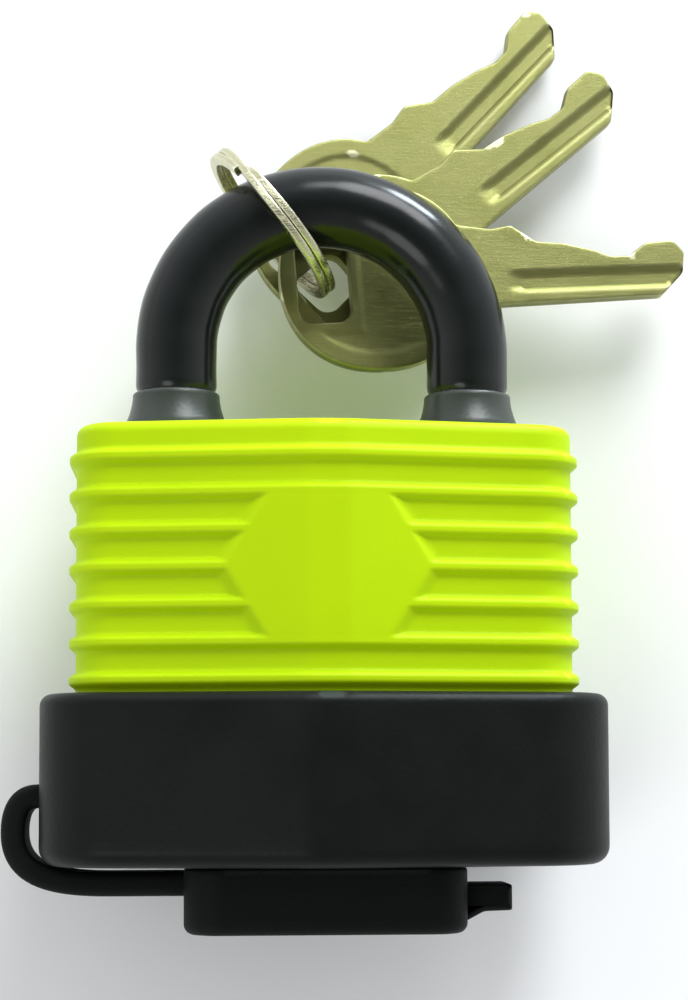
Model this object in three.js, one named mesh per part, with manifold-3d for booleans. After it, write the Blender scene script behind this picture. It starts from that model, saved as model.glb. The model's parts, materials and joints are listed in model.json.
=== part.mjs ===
// A weatherproof laminated padlock, with its dust cap, split ring and three keys.
// Millimetres. The lock lies on its back: +X to the right, +Y towards the shackle, +Z out of the front.
// The origin is the middle of the flat land down the back of the bumper.
// Inside the lock group, y is measured from the bumper's bottom and z from the middle of the body.
import * as THREE from "three";
import { mergeVertices } from "three/addons/utils/BufferGeometryUtils.js";
import Module from "manifold-3d";

const wasm = await Module();
wasm.setup();

// Plan of the body, shared by the bumper, the cover and the plates
const BODY_WIDTH = 62;
const BODY_DEPTH = 35.6;
const LAND_WIDTH = 5; // flat strip down the middle of the front and of the back
const FACE_SLOPE = THREE.MathUtils.degToRad(9.4); // each half of a face falls back to the ends
const CORNER_RADIUS = 9;
const CORNER_STEPS = 3;
const LEAST_RADIUS = 0.5;

// Fits
const GAP = 0.3; // between pieces that sit together
const PLATE_GAP = 0.15; // between plates, and round the plate stack
const BALL_GAP = 0.35;

// Bumper
const BUMPER_HEIGHT = 18.5;
const BUMPER_WALL = 3.55;
const BUMPER_FLOOR = 2.6;
const BUMPER_EDGE = 2; // rounding of the lower edge
const BUMPER_LIP = 1.8; // slope of the upper edge
const KEY_OPENING = { width: 22, depth: 14, corner: 3 };

// Cover
const COVER_WALL = 2;
const BEAD_HEIGHT = 0.75;
const BEAD_PITCH = 4;
const BEAD_COUNT = 7;
const BEAD_FOOT = 1; // half widths of a bead at its foot and at its crest
const BEAD_CREST = 0.45;
const FIRST_BEAD = 3.85; // centre of the top bead below the cover's top
const PANEL_LEVEL = 31.9;
const PANEL = [
  [12.2, 0],
  [9.8, 4],
  [7.4, 8],
]; // half width of the blank panel at each height from its middle

// Plates and rivets
const PLATE_COUNT = 14;
const PLATE_THICKNESS = 2.9;
const RIVET_RADIUS = 1.6;
const RIVET_X = 11.5;
const RIVET_Z = 7.2;
const FIRST_CAM_PLATE = 10;
const LAST_CAM_PLATE = 12;
const TOE_BORE_PLATE = 9;

// Shackle
const LEG_RADIUS = 3.95;
const LEG_SPACING = 32.8; // between the centres of the legs
const NECK_RADIUS = 3.3; // where a leg passes its ball
const SHACKLE_RISE = 9.85; // from the cover's top to the start of the arc
const SHACKLE_LIFT = 15;
const COLLAR_HEIGHT = 2.75;
const TOE_LENGTH = 14.55; // of the toe leg inside the cover
const SLEEVE_WALL = 0.45;
const CUFF_HEIGHT = 4.35;
const CUFF_FLARE = 1.1; // foot of a cuff beyond the sleeve
const CUFF_TOP = 0.35; // top of a cuff beyond the sleeve

// Locking balls and cam
const BALL_RADIUS = 3.2;
const BALL_TRAVEL = 1.9;
const CAM_LOW = 6;
const CAM_GAP = 0.6;
const CAM_TENON = 4.4;
const TENON_GAP = 0.2;

// Cylinder
const PLUG_RADIUS = 5.5;
const PLUG_GAP = 0.25;
const SHELL_WALL = 2.45;
const TOWER_WIDTH = 6;
const TAIL_RADIUS = 4;
const CLIP_THICKNESS = 0.6;
const CLIP_WIDTH = 3;
const KEYWAY = { width: 2.4, below: 4.3, above: 2.9 };
const PIN_RADIUS = 1.2;
const PIN_GAP = 0.15;
const FIRST_PIN = 9.5;
const PIN_PITCH = 4;
const PIN_LENGTHS = [4.2, 3.4, 3.9, 3];
const DRIVER_LENGTH = 1.55;
const PIN_SPRING_LENGTH = 2;
const PIN_WIRE = 0.17;
const PIN_SPRING_TURNS = 3;
const CHAMBER_CAP = { width: 3, thickness: 0.6 };

// Shackle spring
const SPRING_INSET = 0.85; // of the coil's middle line inside the leg's radius
const SPRING_WIRE = 0.5;
const SPRING_TURNS = 6;

// Dust cap and its strap
const CAP_WIDTH = 30.8;
const CAP_DEPTH = 19;
const CAP_HEIGHT = 7.1;
const CAP_CORNER = 4;
const CAP_CHAMFER = 1;
const TAB_REACH = 5.2;
const TAB_TOP = 2; // below the cap's upper face
const TAB_THICKNESS = 2.9;
const TAB_WIDTH = 8;
const SPIGOT_GAP = 0.7;
const SPIGOT_WALL = 1.6;
const SPIGOT_RISE = 2.7;
const STRAP_WIDTH = 8;
const STRAP_THICKNESS = 2.6;
const STRAP_ANCHOR = 7.5; // height of the strap's root in the bumper's left end
const STRAP_ROOT = 0.9; // depth of the root in its pocket
const STRAP_REACH = 3; // of the strap's middle line beyond the bumper's end
const STRAP_BOTTOM = -2.1;

// Split ring and keys
const RING_ROOM = 4.35; // how much wider the ring is than the sleeved rod, in radius
const RING_WALL = 1.5;
const RING_WIDTH = 1.9;
const RING_ALONG = THREE.MathUtils.degToRad(19.5); // place of the ring on the shackle's arc, from its top
const RING_TURN = THREE.MathUtils.degToRad(-50); // direction of the ring's plane
const KEY_THICKNESS = 1.75;
const KEY_SPACE = 0.25;
const KEY_BELOW_ROD = 2.3;
const KEY_TILT = THREE.MathUtils.degToRad(6.5);
const KEY_TILT_TOWARDS = THREE.MathUtils.degToRad(40);
// Each key's direction, and where the wire leaves the middle of its hole, along the key and across it
const KEY_PLACES = [
  { degrees: 47.4, along: 1.27, across: 0.6 },
  { degrees: 40, along: 0.89, across: -2.92 },
  { degrees: 4.2, along: 0, across: 1.18 },
];
const KEY_LENGTH = 43.7; // from the middle of the hole to the tip
const BOW = { centre: 6.3, along: 11.4, across: 11.1, power: 2.2, start: 30, end: 341 };
const KEY_HOLE = { along: 6.2, across: 10.6, corner: 1.8 };
const BLADE_BACK = -3.5;

// Sizes worked out from the ones above
const RECESS = BUMPER_WALL + GAP; // insets from the body's plan
const CREST = RECESS - BEAD_HEIGHT;
const COVER_INNER = RECESS + COVER_WALL;
const PLATE_INSET = COVER_INNER + PLATE_GAP;
const PLATE_PITCH = PLATE_THICKNESS + PLATE_GAP;
const STACK_BASE = BUMPER_FLOOR + GAP;
const STACK_TOP = STACK_BASE + PLATE_COUNT * PLATE_PITCH - PLATE_GAP;
const COVER_TOP = STACK_TOP + GAP + COVER_WALL;
const LEG_X = LEG_SPACING / 2;
const BORE_RADIUS = LEG_RADIUS + GAP;
const ARC_LEVEL = COVER_TOP + SHACKLE_RISE;
const CHAMBER_BASE = plateBase(FIRST_CAM_PLATE) - PLATE_GAP / 2;
const CHAMBER_TOP = plateBase(LAST_CAM_PLATE + 1) - PLATE_GAP / 2;
const BALL_LEVEL = (CHAMBER_BASE + CHAMBER_TOP) / 2;
const BALL_REST = CAM_LOW + BALL_RADIUS + BALL_GAP;
const BALL_LOCKED = BALL_REST + BALL_TRAVEL;
const SLEEVE_RADIUS = LEG_RADIUS + 0.2 + SLEEVE_WALL;
const RING_INNER = SLEEVE_RADIUS + RING_ROOM;
const SHELL_RADIUS = PLUG_RADIUS + PLUG_GAP + SHELL_WALL;
const CAVITY_RADIUS = SHELL_RADIUS + GAP;
const SHELL_BASE = plateBase(1);
const SHELL_TOP = CHAMBER_BASE - 2.3;
const NOSE_BASE = STACK_BASE + 0.2;
const SHEAR_LINE = PLUG_RADIUS - 0.1;
const DRIVER_BASE = PLUG_RADIUS + PLUG_GAP + 0.1;
const SPRING_BASE = DRIVER_BASE + DRIVER_LENGTH + 0.1;
const CHAMBER_CAP_BASE = SPRING_BASE + PIN_SPRING_LENGTH + 0.1;
const TOWER_TOP = CHAMBER_CAP_BASE + CHAMBER_CAP.thickness + 0.1;
const PIN_BORE = PIN_RADIUS + PIN_GAP;
const CAP_TOP = -GAP;
const RING_MIDDLE = RING_INNER + RING_WALL / 2;

function plateBase(index) {
  return STACK_BASE + index * PLATE_PITCH;
}

// ---- Shapes ----

// The body's plan as [x, z] points, moved in by inset; every inset gives the same number of points.
function outline(inset) {
  const end = BODY_WIDTH / 2 - inset;
  const face = BODY_DEPTH / 2 - inset;
  const radius = Math.max(CORNER_RADIUS - inset, LEAST_RADIUS);
  const fall = Math.tan(FACE_SLOPE);
  const arcX = end - radius;
  const arcZ = face + (LAND_WIDTH / 2 - arcX) * fall - radius / Math.cos(FACE_SLOPE);
  const corner = [];
  for (let step = 0; step <= CORNER_STEPS; step++) {
    const angle = (step / CORNER_STEPS) * (Math.PI / 2 - FACE_SLOPE);
    corner.push([arcX + radius * Math.cos(angle), arcZ + radius * Math.sin(angle)]);
  }
  const right = [...corner, [LAND_WIDTH / 2, face]];
  const left = right.map(([x, z]) => [-x, z]).reverse();
  const front = [...right, ...left];
  const back = front.map(([x, z]) => [x, -z]).reverse();
  return [...front, ...back];
}

// A closed surface through rings of equal count; fans close its two ends.
function loft(rings) {
  const count = rings[0].length;
  const points = rings.flat();
  const faces = [];
  rings.slice(1).forEach((ring, i) => {
    ring.forEach((point, j) => {
      const next = (j + 1) % count;
      const a = i * count + j;
      const b = i * count + next;
      faces.push(a, b, b + count, a, b + count, a + count);
    });
  });
  for (const [ring, start, flip] of [
    [rings[0], 0, true],
    [rings.at(-1), points.length - count, false],
  ]) {
    const middle = points.length;
    points.push(ring.reduce((sum, p) => sum.add(p), new THREE.Vector3()).divideScalar(count));
    ring.forEach((point, j) => {
      const pair = [start + j, start + ((j + 1) % count)];
      faces.push(middle, ...(flip ? pair.reverse() : pair));
    });
  }
  return outward(points, faces);
}

// The same surface with its faces turned to point out.
function outward(points, faces) {
  let volume = 0;
  for (let i = 0; i < faces.length; i += 3) {
    const [a, b, c] = [0, 1, 2].map((k) => points[faces[i + k]]);
    volume += a.dot(new THREE.Vector3().crossVectors(b, c));
  }
  const index = volume < 0 ? [...faces].reverse() : faces;
  return new THREE.BufferGeometry().setFromPoints(points).setIndex(index);
}

// A body-shaped block through [y, inset] stations.
function bodyBlock(stations) {
  return loft(
    stations.map(([y, inset]) => outline(inset).map(([x, z]) => new THREE.Vector3(x, y, z))),
  );
}

// A shape drawn in x and z, carried from y0 up to y1.
function prismY(shape, y0, y1) {
  return new THREE.ExtrudeGeometry(shape, { depth: y1 - y0, bevelEnabled: false, curveSegments: 6 })
    .rotateX(Math.PI / 2)
    .translate(0, y1, 0);
}

// A shape drawn in x and y, carried from z0 up to z1.
function prismZ(shape, z0, z1) {
  return new THREE.ExtrudeGeometry(shape, {
    depth: z1 - z0,
    bevelEnabled: false,
    curveSegments: 6,
  }).translate(0, 0, z0);
}

function polygon(points) {
  return new THREE.Shape(points.map(([x, y]) => new THREE.Vector2(x, y)));
}

function roundedRectangle(width, height, radius) {
  const x = width / 2;
  const y = height / 2;
  return new THREE.Shape()
    .moveTo(x, -y + radius)
    .lineTo(x, y - radius)
    .absarc(x - radius, y - radius, radius, 0, Math.PI / 2)
    .lineTo(-x + radius, y)
    .absarc(-x + radius, y - radius, radius, Math.PI / 2, Math.PI)
    .lineTo(-x, -y + radius)
    .absarc(-x + radius, -y + radius, radius, Math.PI, Math.PI * 1.5)
    .lineTo(x - radius, -y)
    .absarc(x - radius, -y + radius, radius, Math.PI * 1.5, Math.PI * 2);
}

function rodY(x, z, radius, y0, y1, sides = 16) {
  return new THREE.CylinderGeometry(radius, radius, y1 - y0, sides).translate(x, (y0 + y1) / 2, z);
}

function rodZ(x, y, radius, z0, z1, sides = 12) {
  return new THREE.CylinderGeometry(radius, radius, z1 - z0, sides)
    .rotateX(Math.PI / 2)
    .translate(x, y, (z0 + z1) / 2);
}

function block(x0, x1, y0, y1, z0, z1) {
  return new THREE.BoxGeometry(x1 - x0, y1 - y0, z1 - z0).translate(
    (x0 + x1) / 2,
    (y0 + y1) / 2,
    (z0 + z1) / 2,
  );
}

// A ring with the section [radius, y] turned about the Y axis through (x, z).
function turned(section, x = 0, z = 0, sides = 32) {
  const points = [...section, section[0]].map(([r, y]) => new THREE.Vector2(r, y));
  return new THREE.LatheGeometry(points, sides).translate(x, 0, z);
}

// A round rod along a path in the XY plane; a station is a centre, a direction and a radius.
function rod(stations, sides = 16) {
  return loft(
    stations.map(({ x, y, heading, radius }) =>
      Array.from({ length: sides }, (_, k) => {
        const angle = ((k + 0.5) / sides) * Math.PI * 2;
        const side = radius * Math.cos(angle);
        return new THREE.Vector3(
          x - side * Math.sin(heading),
          y + side * Math.cos(heading),
          radius * Math.sin(angle),
        );
      }),
    ),
  );
}

// A coil spring of round wire, from the foot of its axis.
function coil(radius, wire, length, turns, stepsPerTurn, sides) {
  const rise = length - 2 * wire;
  const steps = turns * stepsPerTurn;
  const rings = [];
  for (let i = 0; i <= steps; i++) {
    const angle = (i / stepsPerTurn) * Math.PI * 2;
    const out = new THREE.Vector3(Math.cos(angle), 0, Math.sin(angle));
    const middle = out.clone().multiplyScalar(radius).setY(wire + (rise * i) / steps);
    rings.push(
      Array.from({ length: sides }, (_, k) => {
        const turn = (k / sides) * Math.PI * 2;
        return middle
          .clone()
          .addScaledVector(out, wire * Math.cos(turn))
          .add(new THREE.Vector3(0, wire * Math.sin(turn), 0));
      }),
    );
  }
  return loft(rings);
}

// ---- Booleans ----

function toSolid(geometry) {
  const bare = geometry.clone();
  for (const name of Object.keys(bare.attributes)) {
    if (name !== "position") bare.deleteAttribute(name);
  }
  const merged = mergeVertices(bare, 1e-4);
  return new wasm.Manifold(
    new wasm.Mesh({
      numProp: 3,
      vertProperties: new Float32Array(merged.attributes.position.array),
      triVerts: new Uint32Array(merged.index.array),
    }),
  );
}

function toGeometry(solid) {
  const mesh = solid.getMesh();
  return new THREE.BufferGeometry()
    .setAttribute("position", new THREE.BufferAttribute(mesh.vertProperties, 3))
    .setIndex(new THREE.BufferAttribute(mesh.triVerts, 1));
}

function cut(base, ...tools) {
  return toGeometry(tools.reduce((left, tool) => left.subtract(toSolid(tool)), toSolid(base)));
}

function join(base, ...others) {
  return toGeometry(others.reduce((sum, other) => sum.add(toSolid(other)), toSolid(base)));
}

function common(a, b) {
  return toGeometry(toSolid(a).intersect(toSolid(b)));
}

// ---- Materials ----

function finish(color, roughness, metalness = 0) {
  return new THREE.MeshStandardMaterial({ color, roughness, metalness });
}

const limePlastic = finish(0xb9e401, 0.45);
const blackPlastic = finish(0x161b17, 0.5);
const blackRubber = finish(0x0f1211, 0.6);
const sleeveVinyl = finish(0x202720, 0.3);
const zincSteel = finish(0xb4b6b2, 0.38, 1);
const hardSteel = finish(0xc4c6c8, 0.22, 1);
const brass = finish(0xc7a44d, 0.32, 1);
const nickelBrass = finish(0x9d9c66, 0.34, 1);

const lock = new THREE.Group();
lock.position.set(0, -BUMPER_HEIGHT / 2, BODY_DEPTH / 2);

function piece(name, geometry, material, parent = lock) {
  const mesh = new THREE.Mesh(geometry.index ? geometry.toNonIndexed() : geometry, material);
  mesh.geometry.computeVertexNormals();
  mesh.name = name;
  parent.add(mesh);
  return mesh;
}

// ---- Bumper and cover ----

function bumper() {
  const outer = bodyBlock([
    [0, BUMPER_EDGE],
    [0.3 * BUMPER_EDGE, 0.3 * BUMPER_EDGE],
    [BUMPER_EDGE, 0],
    [BUMPER_HEIGHT - BUMPER_LIP, 0],
    [BUMPER_HEIGHT - 0.33 * BUMPER_LIP, 0.33 * BUMPER_LIP],
    [BUMPER_HEIGHT, BUMPER_LIP],
  ]);
  const inner = bodyBlock([
    [BUMPER_FLOOR, BUMPER_WALL],
    [BUMPER_HEIGHT + 1, BUMPER_WALL],
  ]);
  const opening = prismY(
    roundedRectangle(KEY_OPENING.width, KEY_OPENING.depth, KEY_OPENING.corner),
    -1,
    BUMPER_FLOOR + 1,
  );
  const half = STRAP_THICKNESS / 2 + GAP;
  const side = STRAP_WIDTH / 2 + GAP;
  const end = -BODY_WIDTH / 2;
  const pocketFloor = end + STRAP_ROOT + GAP;
  const pocket = block(end - 1, pocketFloor, STRAP_ANCHOR - half, STRAP_ANCHOR + half, -side, side);
  return cut(outer, inner, opening, pocket);
}

// One bead as [y, inset] stations, from its foot below to its foot above.
function bead(level) {
  return [
    [level - BEAD_FOOT, RECESS],
    [level - BEAD_CREST, CREST],
    [level + BEAD_CREST, CREST],
    [level + BEAD_FOOT, RECESS],
  ];
}

function cover() {
  const foot = STACK_BASE + GAP;
  const beads = Array.from({ length: BEAD_COUNT }, (_, k) => {
    return bead(COVER_TOP - FIRST_BEAD - BEAD_PITCH * (BEAD_COUNT - 1 - k));
  });
  const shell = bodyBlock([
    [foot, RECESS],
    ...beads.flat(),
    [COVER_TOP - 1.2, RECESS],
    [COVER_TOP - 0.35, RECESS + 0.35],
    [COVER_TOP, RECESS + 1.2],
  ]);
  const upper = PANEL.map(([x, y]) => [x, PANEL_LEVEL + y]);
  const lower = PANEL.slice(1).map(([x, y]) => [x, PANEL_LEVEL - y]);
  const right = [...lower.reverse(), ...upper];
  const hexagon = polygon([...right, ...right.map(([x, y]) => [-x, y]).reverse()]);
  const crestBlock = bodyBlock([
    [foot, CREST],
    [COVER_TOP - 1, CREST],
  ]);
  const panel = common(prismZ(hexagon, -BODY_DEPTH, BODY_DEPTH), crestBlock);
  const hollow = bodyBlock([
    [foot - 1, COVER_INNER],
    [STACK_TOP + GAP, COVER_INNER],
  ]);
  const holes = [-LEG_X, LEG_X].map((x) => rodY(x, 0, BORE_RADIUS, STACK_TOP, COVER_TOP + 1));
  return cut(join(shell, panel), hollow, ...holes);
}

// ---- Plates ----

// Everything that is hollow in the plate stack, as one tool.
function stackHollows() {
  const heelBore = rodY(LEG_X, 0, BORE_RADIUS, plateBase(1) - PLATE_GAP / 2, STACK_TOP + 1);
  const toeBase = plateBase(TOE_BORE_PLATE) - PLATE_GAP / 2;
  const toeBore = rodY(-LEG_X, 0, BORE_RADIUS, toeBase, STACK_TOP + 1);
  const nose = rodY(0, 0, PLUG_RADIUS + 0.4, 0, plateBase(1), 24);
  const cavityBase = plateBase(1) - PLATE_GAP / 2;
  const cavity = rodY(0, 0, CAVITY_RADIUS, cavityBase, CHAMBER_BASE, 24);
  const camRoom = rodY(0, 0, CAM_LOW + BALL_TRAVEL + CAM_GAP, CHAMBER_BASE, CHAMBER_TOP, 24);
  const towerSide = TOWER_WIDTH / 2 + GAP;
  const tower = block(-towerSide, towerSide, cavityBase, CHAMBER_BASE, 0, TOWER_TOP + GAP);
  const channelEnd = BALL_LOCKED + 0.8 * BALL_RADIUS;
  const channel = block(
    -channelEnd,
    channelEnd,
    CHAMBER_BASE,
    CHAMBER_TOP,
    -BALL_RADIUS - 0.25,
    BALL_RADIUS + 0.25,
  );
  const rivetHoles = rivetPlaces().map(([x, z]) =>
    rodY(x, z, RIVET_RADIUS + PLATE_GAP, 0, STACK_TOP + 1, 8),
  );
  return join(heelBore, toeBore, nose, cavity, camRoom, tower, channel, ...rivetHoles);
}

function rivetPlaces() {
  return [-RIVET_X, RIVET_X].flatMap((x) => [-RIVET_Z, RIVET_Z].map((z) => [x, z]));
}

function plate(index, hollows) {
  const base = plateBase(index);
  return cut(
    bodyBlock([
      [base, PLATE_INSET],
      [base + PLATE_THICKNESS, PLATE_INSET],
    ]),
    hollows,
  );
}

// ---- Shackle ----

function legStation(x, y, radius) {
  return { x, y, heading: x > 0 ? Math.PI / 2 : -Math.PI / 2, radius };
}

// The stations of the crown, from the right leg over to the left.
function crown(radius, steps = 16) {
  return Array.from({ length: steps + 1 }, (_, k) => {
    const angle = (k / steps) * Math.PI;
    return {
      x: LEG_X * Math.cos(angle),
      y: ARC_LEVEL + LEG_X * Math.sin(angle),
      heading: angle + Math.PI / 2,
      radius,
    };
  });
}

function shackle() {
  const neck = LEG_RADIUS - NECK_RADIUS;
  const collarTop = BALL_LEVEL - SHACKLE_LIFT - 1.65;
  const collarBase = collarTop - COLLAR_HEIGHT;
  const toeEnd = COVER_TOP - TOE_LENGTH;
  const body = rod([
    legStation(LEG_X, collarBase, LEG_RADIUS - 0.5),
    legStation(LEG_X, collarBase + 0.5, LEG_RADIUS),
    legStation(LEG_X, collarTop, LEG_RADIUS),
    legStation(LEG_X, collarTop + neck, NECK_RADIUS),
    legStation(LEG_X, BALL_LEVEL, NECK_RADIUS),
    legStation(LEG_X, BALL_LEVEL + neck, LEG_RADIUS),
    ...crown(LEG_RADIUS),
    legStation(-LEG_X, BALL_LEVEL + neck, LEG_RADIUS),
    legStation(-LEG_X, BALL_LEVEL, NECK_RADIUS),
    legStation(-LEG_X, toeEnd + 0.8, NECK_RADIUS),
    legStation(-LEG_X, toeEnd, NECK_RADIUS - 0.8),
  ]);
  const notches = [-BALL_LOCKED, BALL_LOCKED].map((x) =>
    new THREE.SphereGeometry(BALL_RADIUS + BALL_GAP, 16, 9).translate(x, BALL_LEVEL, 0),
  );
  return cut(body, ...notches);
}

function sleeve() {
  const foot = COVER_TOP + GAP + CUFF_HEIGHT + 0.15;
  const path = (radius, y) => [
    legStation(LEG_X, y, radius),
    ...crown(radius),
    legStation(-LEG_X, y, radius),
  ];
  return cut(rod(path(SLEEVE_RADIUS, foot)), rod(path(SLEEVE_RADIUS - SLEEVE_WALL, foot - 1)));
}

function cuff(x) {
  const base = COVER_TOP + GAP;
  const bore = LEG_RADIUS + 0.25;
  const top = base + CUFF_HEIGHT;
  return turned(
    [
      [bore, base],
      [SLEEVE_RADIUS + CUFF_FLARE, base],
      [SLEEVE_RADIUS + CUFF_FLARE, base + 0.6],
      [SLEEVE_RADIUS + CUFF_TOP, top],
      [bore, top],
    ],
    x,
    0,
    24,
  );
}

function shackleSpring() {
  const base = plateBase(1) + GAP / 2;
  const top = BALL_LEVEL - SHACKLE_LIFT - 1.65 - COLLAR_HEIGHT - GAP;
  const wound = coil(LEG_RADIUS - SPRING_INSET, SPRING_WIRE, top - base, SPRING_TURNS, 8, 5);
  return wound.translate(LEG_X, base, 0);
}

// ---- Locking works ----

// Two spiral lobes half a turn apart: each rises by the ball's travel over a quarter turn, then falls back.
function camRadius(degrees) {
  const past = degrees % 180;
  if (past <= 90) return CAM_LOW + (BALL_TRAVEL * past) / 90;
  if (past <= 100) return CAM_LOW + BALL_TRAVEL;
  if (past <= 120) return CAM_LOW + (BALL_TRAVEL * (120 - past)) / 20;
  return CAM_LOW;
}

function cam() {
  const outlinePoints = Array.from({ length: 36 }, (_, k) => {
    const degrees = k * 10;
    const angle = THREE.MathUtils.degToRad(-degrees);
    const radius = camRadius(degrees);
    return [radius * Math.cos(angle), radius * Math.sin(angle)];
  });
  const base = CHAMBER_BASE + 0.65;
  const socket = CAM_TENON / 2 + TENON_GAP;
  return cut(
    prismY(polygon(outlinePoints), base, CHAMBER_TOP - 0.85),
    block(-socket, socket, base - 1, base + 2.85, -socket, socket),
  );
}

function ball(x) {
  return new THREE.SphereGeometry(BALL_RADIUS, 16, 9).translate(x, BALL_LEVEL, 0);
}

// ---- Cylinder ----

function pinLevel(index) {
  return FIRST_PIN + index * PIN_PITCH;
}

function shell() {
  const round = rodY(0, 0, SHELL_RADIUS, SHELL_BASE, SHELL_TOP, 24);
  const towerSide = TOWER_WIDTH / 2;
  const tower = block(-towerSide, towerSide, SHELL_BASE, SHELL_TOP, 0, TOWER_TOP);
  const bore = rodY(0, 0, PLUG_RADIUS + PLUG_GAP, SHELL_BASE - 1, SHELL_TOP + 1, 24);
  const chambers = PIN_LENGTHS.map((_, k) => {
    return rodZ(0, pinLevel(k), PIN_BORE, 0, CHAMBER_CAP_BASE);
  });
  const side = CHAMBER_CAP.width / 2 + GAP;
  const first = pinLevel(0) - 2 - GAP;
  const last = pinLevel(PIN_LENGTHS.length - 1) + 2 + GAP;
  const slot = block(-side, side, first, last, CHAMBER_CAP_BASE - 0.3, TOWER_TOP + 1);
  return cut(join(round, tower), bore, ...chambers, slot);
}

function chamberCap() {
  const side = CHAMBER_CAP.width / 2;
  const first = pinLevel(0) - 2;
  const last = pinLevel(PIN_LENGTHS.length - 1) + 2;
  const top = CHAMBER_CAP_BASE + CHAMBER_CAP.thickness;
  return block(-side, side, first, last, CHAMBER_CAP_BASE, top);
}

function plug() {
  const clipBase = SHELL_TOP + GAP;
  const body = rodY(0, 0, PLUG_RADIUS, NOSE_BASE, SHELL_TOP - 0.2, 24);
  const tail = rodY(0, 0, TAIL_RADIUS, SHELL_TOP - 1, CHAMBER_BASE - 0.1, 24);
  const half = CAM_TENON / 2;
  const tenon = block(-half, half, CHAMBER_BASE - 1, CHAMBER_BASE + 3.15, -half, half);
  const groove = turned(
    [
      [TAIL_RADIUS - 0.6, clipBase - 0.1],
      [TAIL_RADIUS + 1, clipBase - 0.1],
      [TAIL_RADIUS + 1, clipBase + CLIP_THICKNESS + 0.1],
      [TAIL_RADIUS - 0.6, clipBase + CLIP_THICKNESS + 0.1],
    ],
    0,
    0,
    24,
  );
  const keyway = block(
    -KEYWAY.width / 2,
    KEYWAY.width / 2,
    NOSE_BASE - 1,
    SHELL_TOP - 3,
    -KEYWAY.below,
    KEYWAY.above,
  );
  const chambers = PIN_LENGTHS.map((_, k) => {
    return rodZ(0, pinLevel(k), PIN_BORE, -0.5, PLUG_RADIUS + 1);
  });
  return cut(join(body, tail, tenon), groove, keyway, ...chambers);
}

function plugClip() {
  const inner = TAIL_RADIUS - 0.4;
  const opening = Math.PI / 5;
  const shape = new THREE.Shape()
    .absarc(0, 0, inner + CLIP_WIDTH, opening, 2 * Math.PI - opening)
    .absarc(0, 0, inner, 2 * Math.PI - opening, opening, true);
  const base = SHELL_TOP + GAP;
  return new THREE.ExtrudeGeometry(shape, {
    depth: CLIP_THICKNESS,
    bevelEnabled: false,
    curveSegments: 20,
  })
    .rotateX(Math.PI / 2)
    .translate(0, base + CLIP_THICKNESS, 0);
}

function keyPin(index) {
  return rodZ(0, pinLevel(index), PIN_RADIUS, SHEAR_LINE - PIN_LENGTHS[index], SHEAR_LINE);
}

function driverPin(index) {
  return rodZ(0, pinLevel(index), PIN_RADIUS, DRIVER_BASE, DRIVER_BASE + DRIVER_LENGTH);
}

function pinSpring(index) {
  const radius = PIN_RADIUS - PIN_WIRE - 0.1;
  return coil(radius, PIN_WIRE, PIN_SPRING_LENGTH, PIN_SPRING_TURNS, 8, 4)
    .rotateX(Math.PI / 2)
    .translate(0, pinLevel(index), SPRING_BASE);
}

// ---- Dust cap and strap ----

function dustCap() {
  const half = CAP_WIDTH / 2;
  const bottom = CAP_TOP - CAP_HEIGHT;
  const front = polygon([
    [-half, CAP_TOP],
    [half, CAP_TOP],
    [half, bottom + CAP_CHAMFER],
    [half - CAP_CHAMFER, bottom],
    [-half + CAP_CHAMFER, bottom],
    [-half, bottom + CAP_CHAMFER],
  ]);
  const plan = roundedRectangle(CAP_WIDTH, CAP_DEPTH, CAP_CORNER);
  const body = common(
    prismZ(front, -CAP_DEPTH / 2, CAP_DEPTH / 2),
    prismY(plan, bottom - 1, CAP_TOP + 1),
  );
  const tabTop = CAP_TOP - TAB_TOP;
  const tabBottom = tabTop - TAB_THICKNESS;
  const tab = polygon([
    [half - 3, tabTop],
    [half + TAB_REACH, tabTop],
    [half + TAB_REACH, tabBottom],
    [half + TAB_REACH - 3.1, tabBottom],
    [half - 1.5, bottom],
    [half - 3, bottom],
  ]);
  const width = KEY_OPENING.width - 2 * SPIGOT_GAP;
  const depth = KEY_OPENING.depth - 2 * SPIGOT_GAP;
  const corner = KEY_OPENING.corner - SPIGOT_GAP;
  const spigot = prismY(
    roundedRectangle(width, depth, corner),
    CAP_TOP - 1,
    CAP_TOP + SPIGOT_RISE,
  );
  const hollow = prismY(
    roundedRectangle(
      width - 2 * SPIGOT_WALL,
      depth - 2 * SPIGOT_WALL,
      Math.max(corner - SPIGOT_WALL, LEAST_RADIUS),
    ),
    bottom + 2,
    CAP_TOP + SPIGOT_RISE + 1,
  );
  return cut(join(body, prismZ(tab, -TAB_WIDTH / 2, TAB_WIDTH / 2), spigot), hollow);
}

// The strap's middle line, from its root in the bumper round to the cap.
function strapLine() {
  const end = -BODY_WIDTH / 2;
  const outer = end - STRAP_REACH;
  const at = (x, y) => new THREE.Vector3(x, y, 0);
  const line = new THREE.CurvePath();
  line.add(new THREE.LineCurve3(at(end + STRAP_ROOT, STRAP_ANCHOR), at(end - 0.4, STRAP_ANCHOR)));
  line.add(
    new THREE.CubicBezierCurve3(
      at(end - 0.4, STRAP_ANCHOR),
      at(end - 2.2, STRAP_ANCHOR),
      at(outer, STRAP_ANCHOR - 1.6),
      at(outer, 3.6),
    ),
  );
  line.add(
    new THREE.CubicBezierCurve3(
      at(outer, 3.6),
      at(outer, -1),
      at(outer + 4, STRAP_BOTTOM),
      at(outer + 10.5, STRAP_BOTTOM),
    ),
  );
  line.add(
    new THREE.LineCurve3(
      at(outer + 10.5, STRAP_BOTTOM),
      at(-CAP_WIDTH / 2 - GAP, STRAP_BOTTOM),
    ),
  );
  return line;
}

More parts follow.
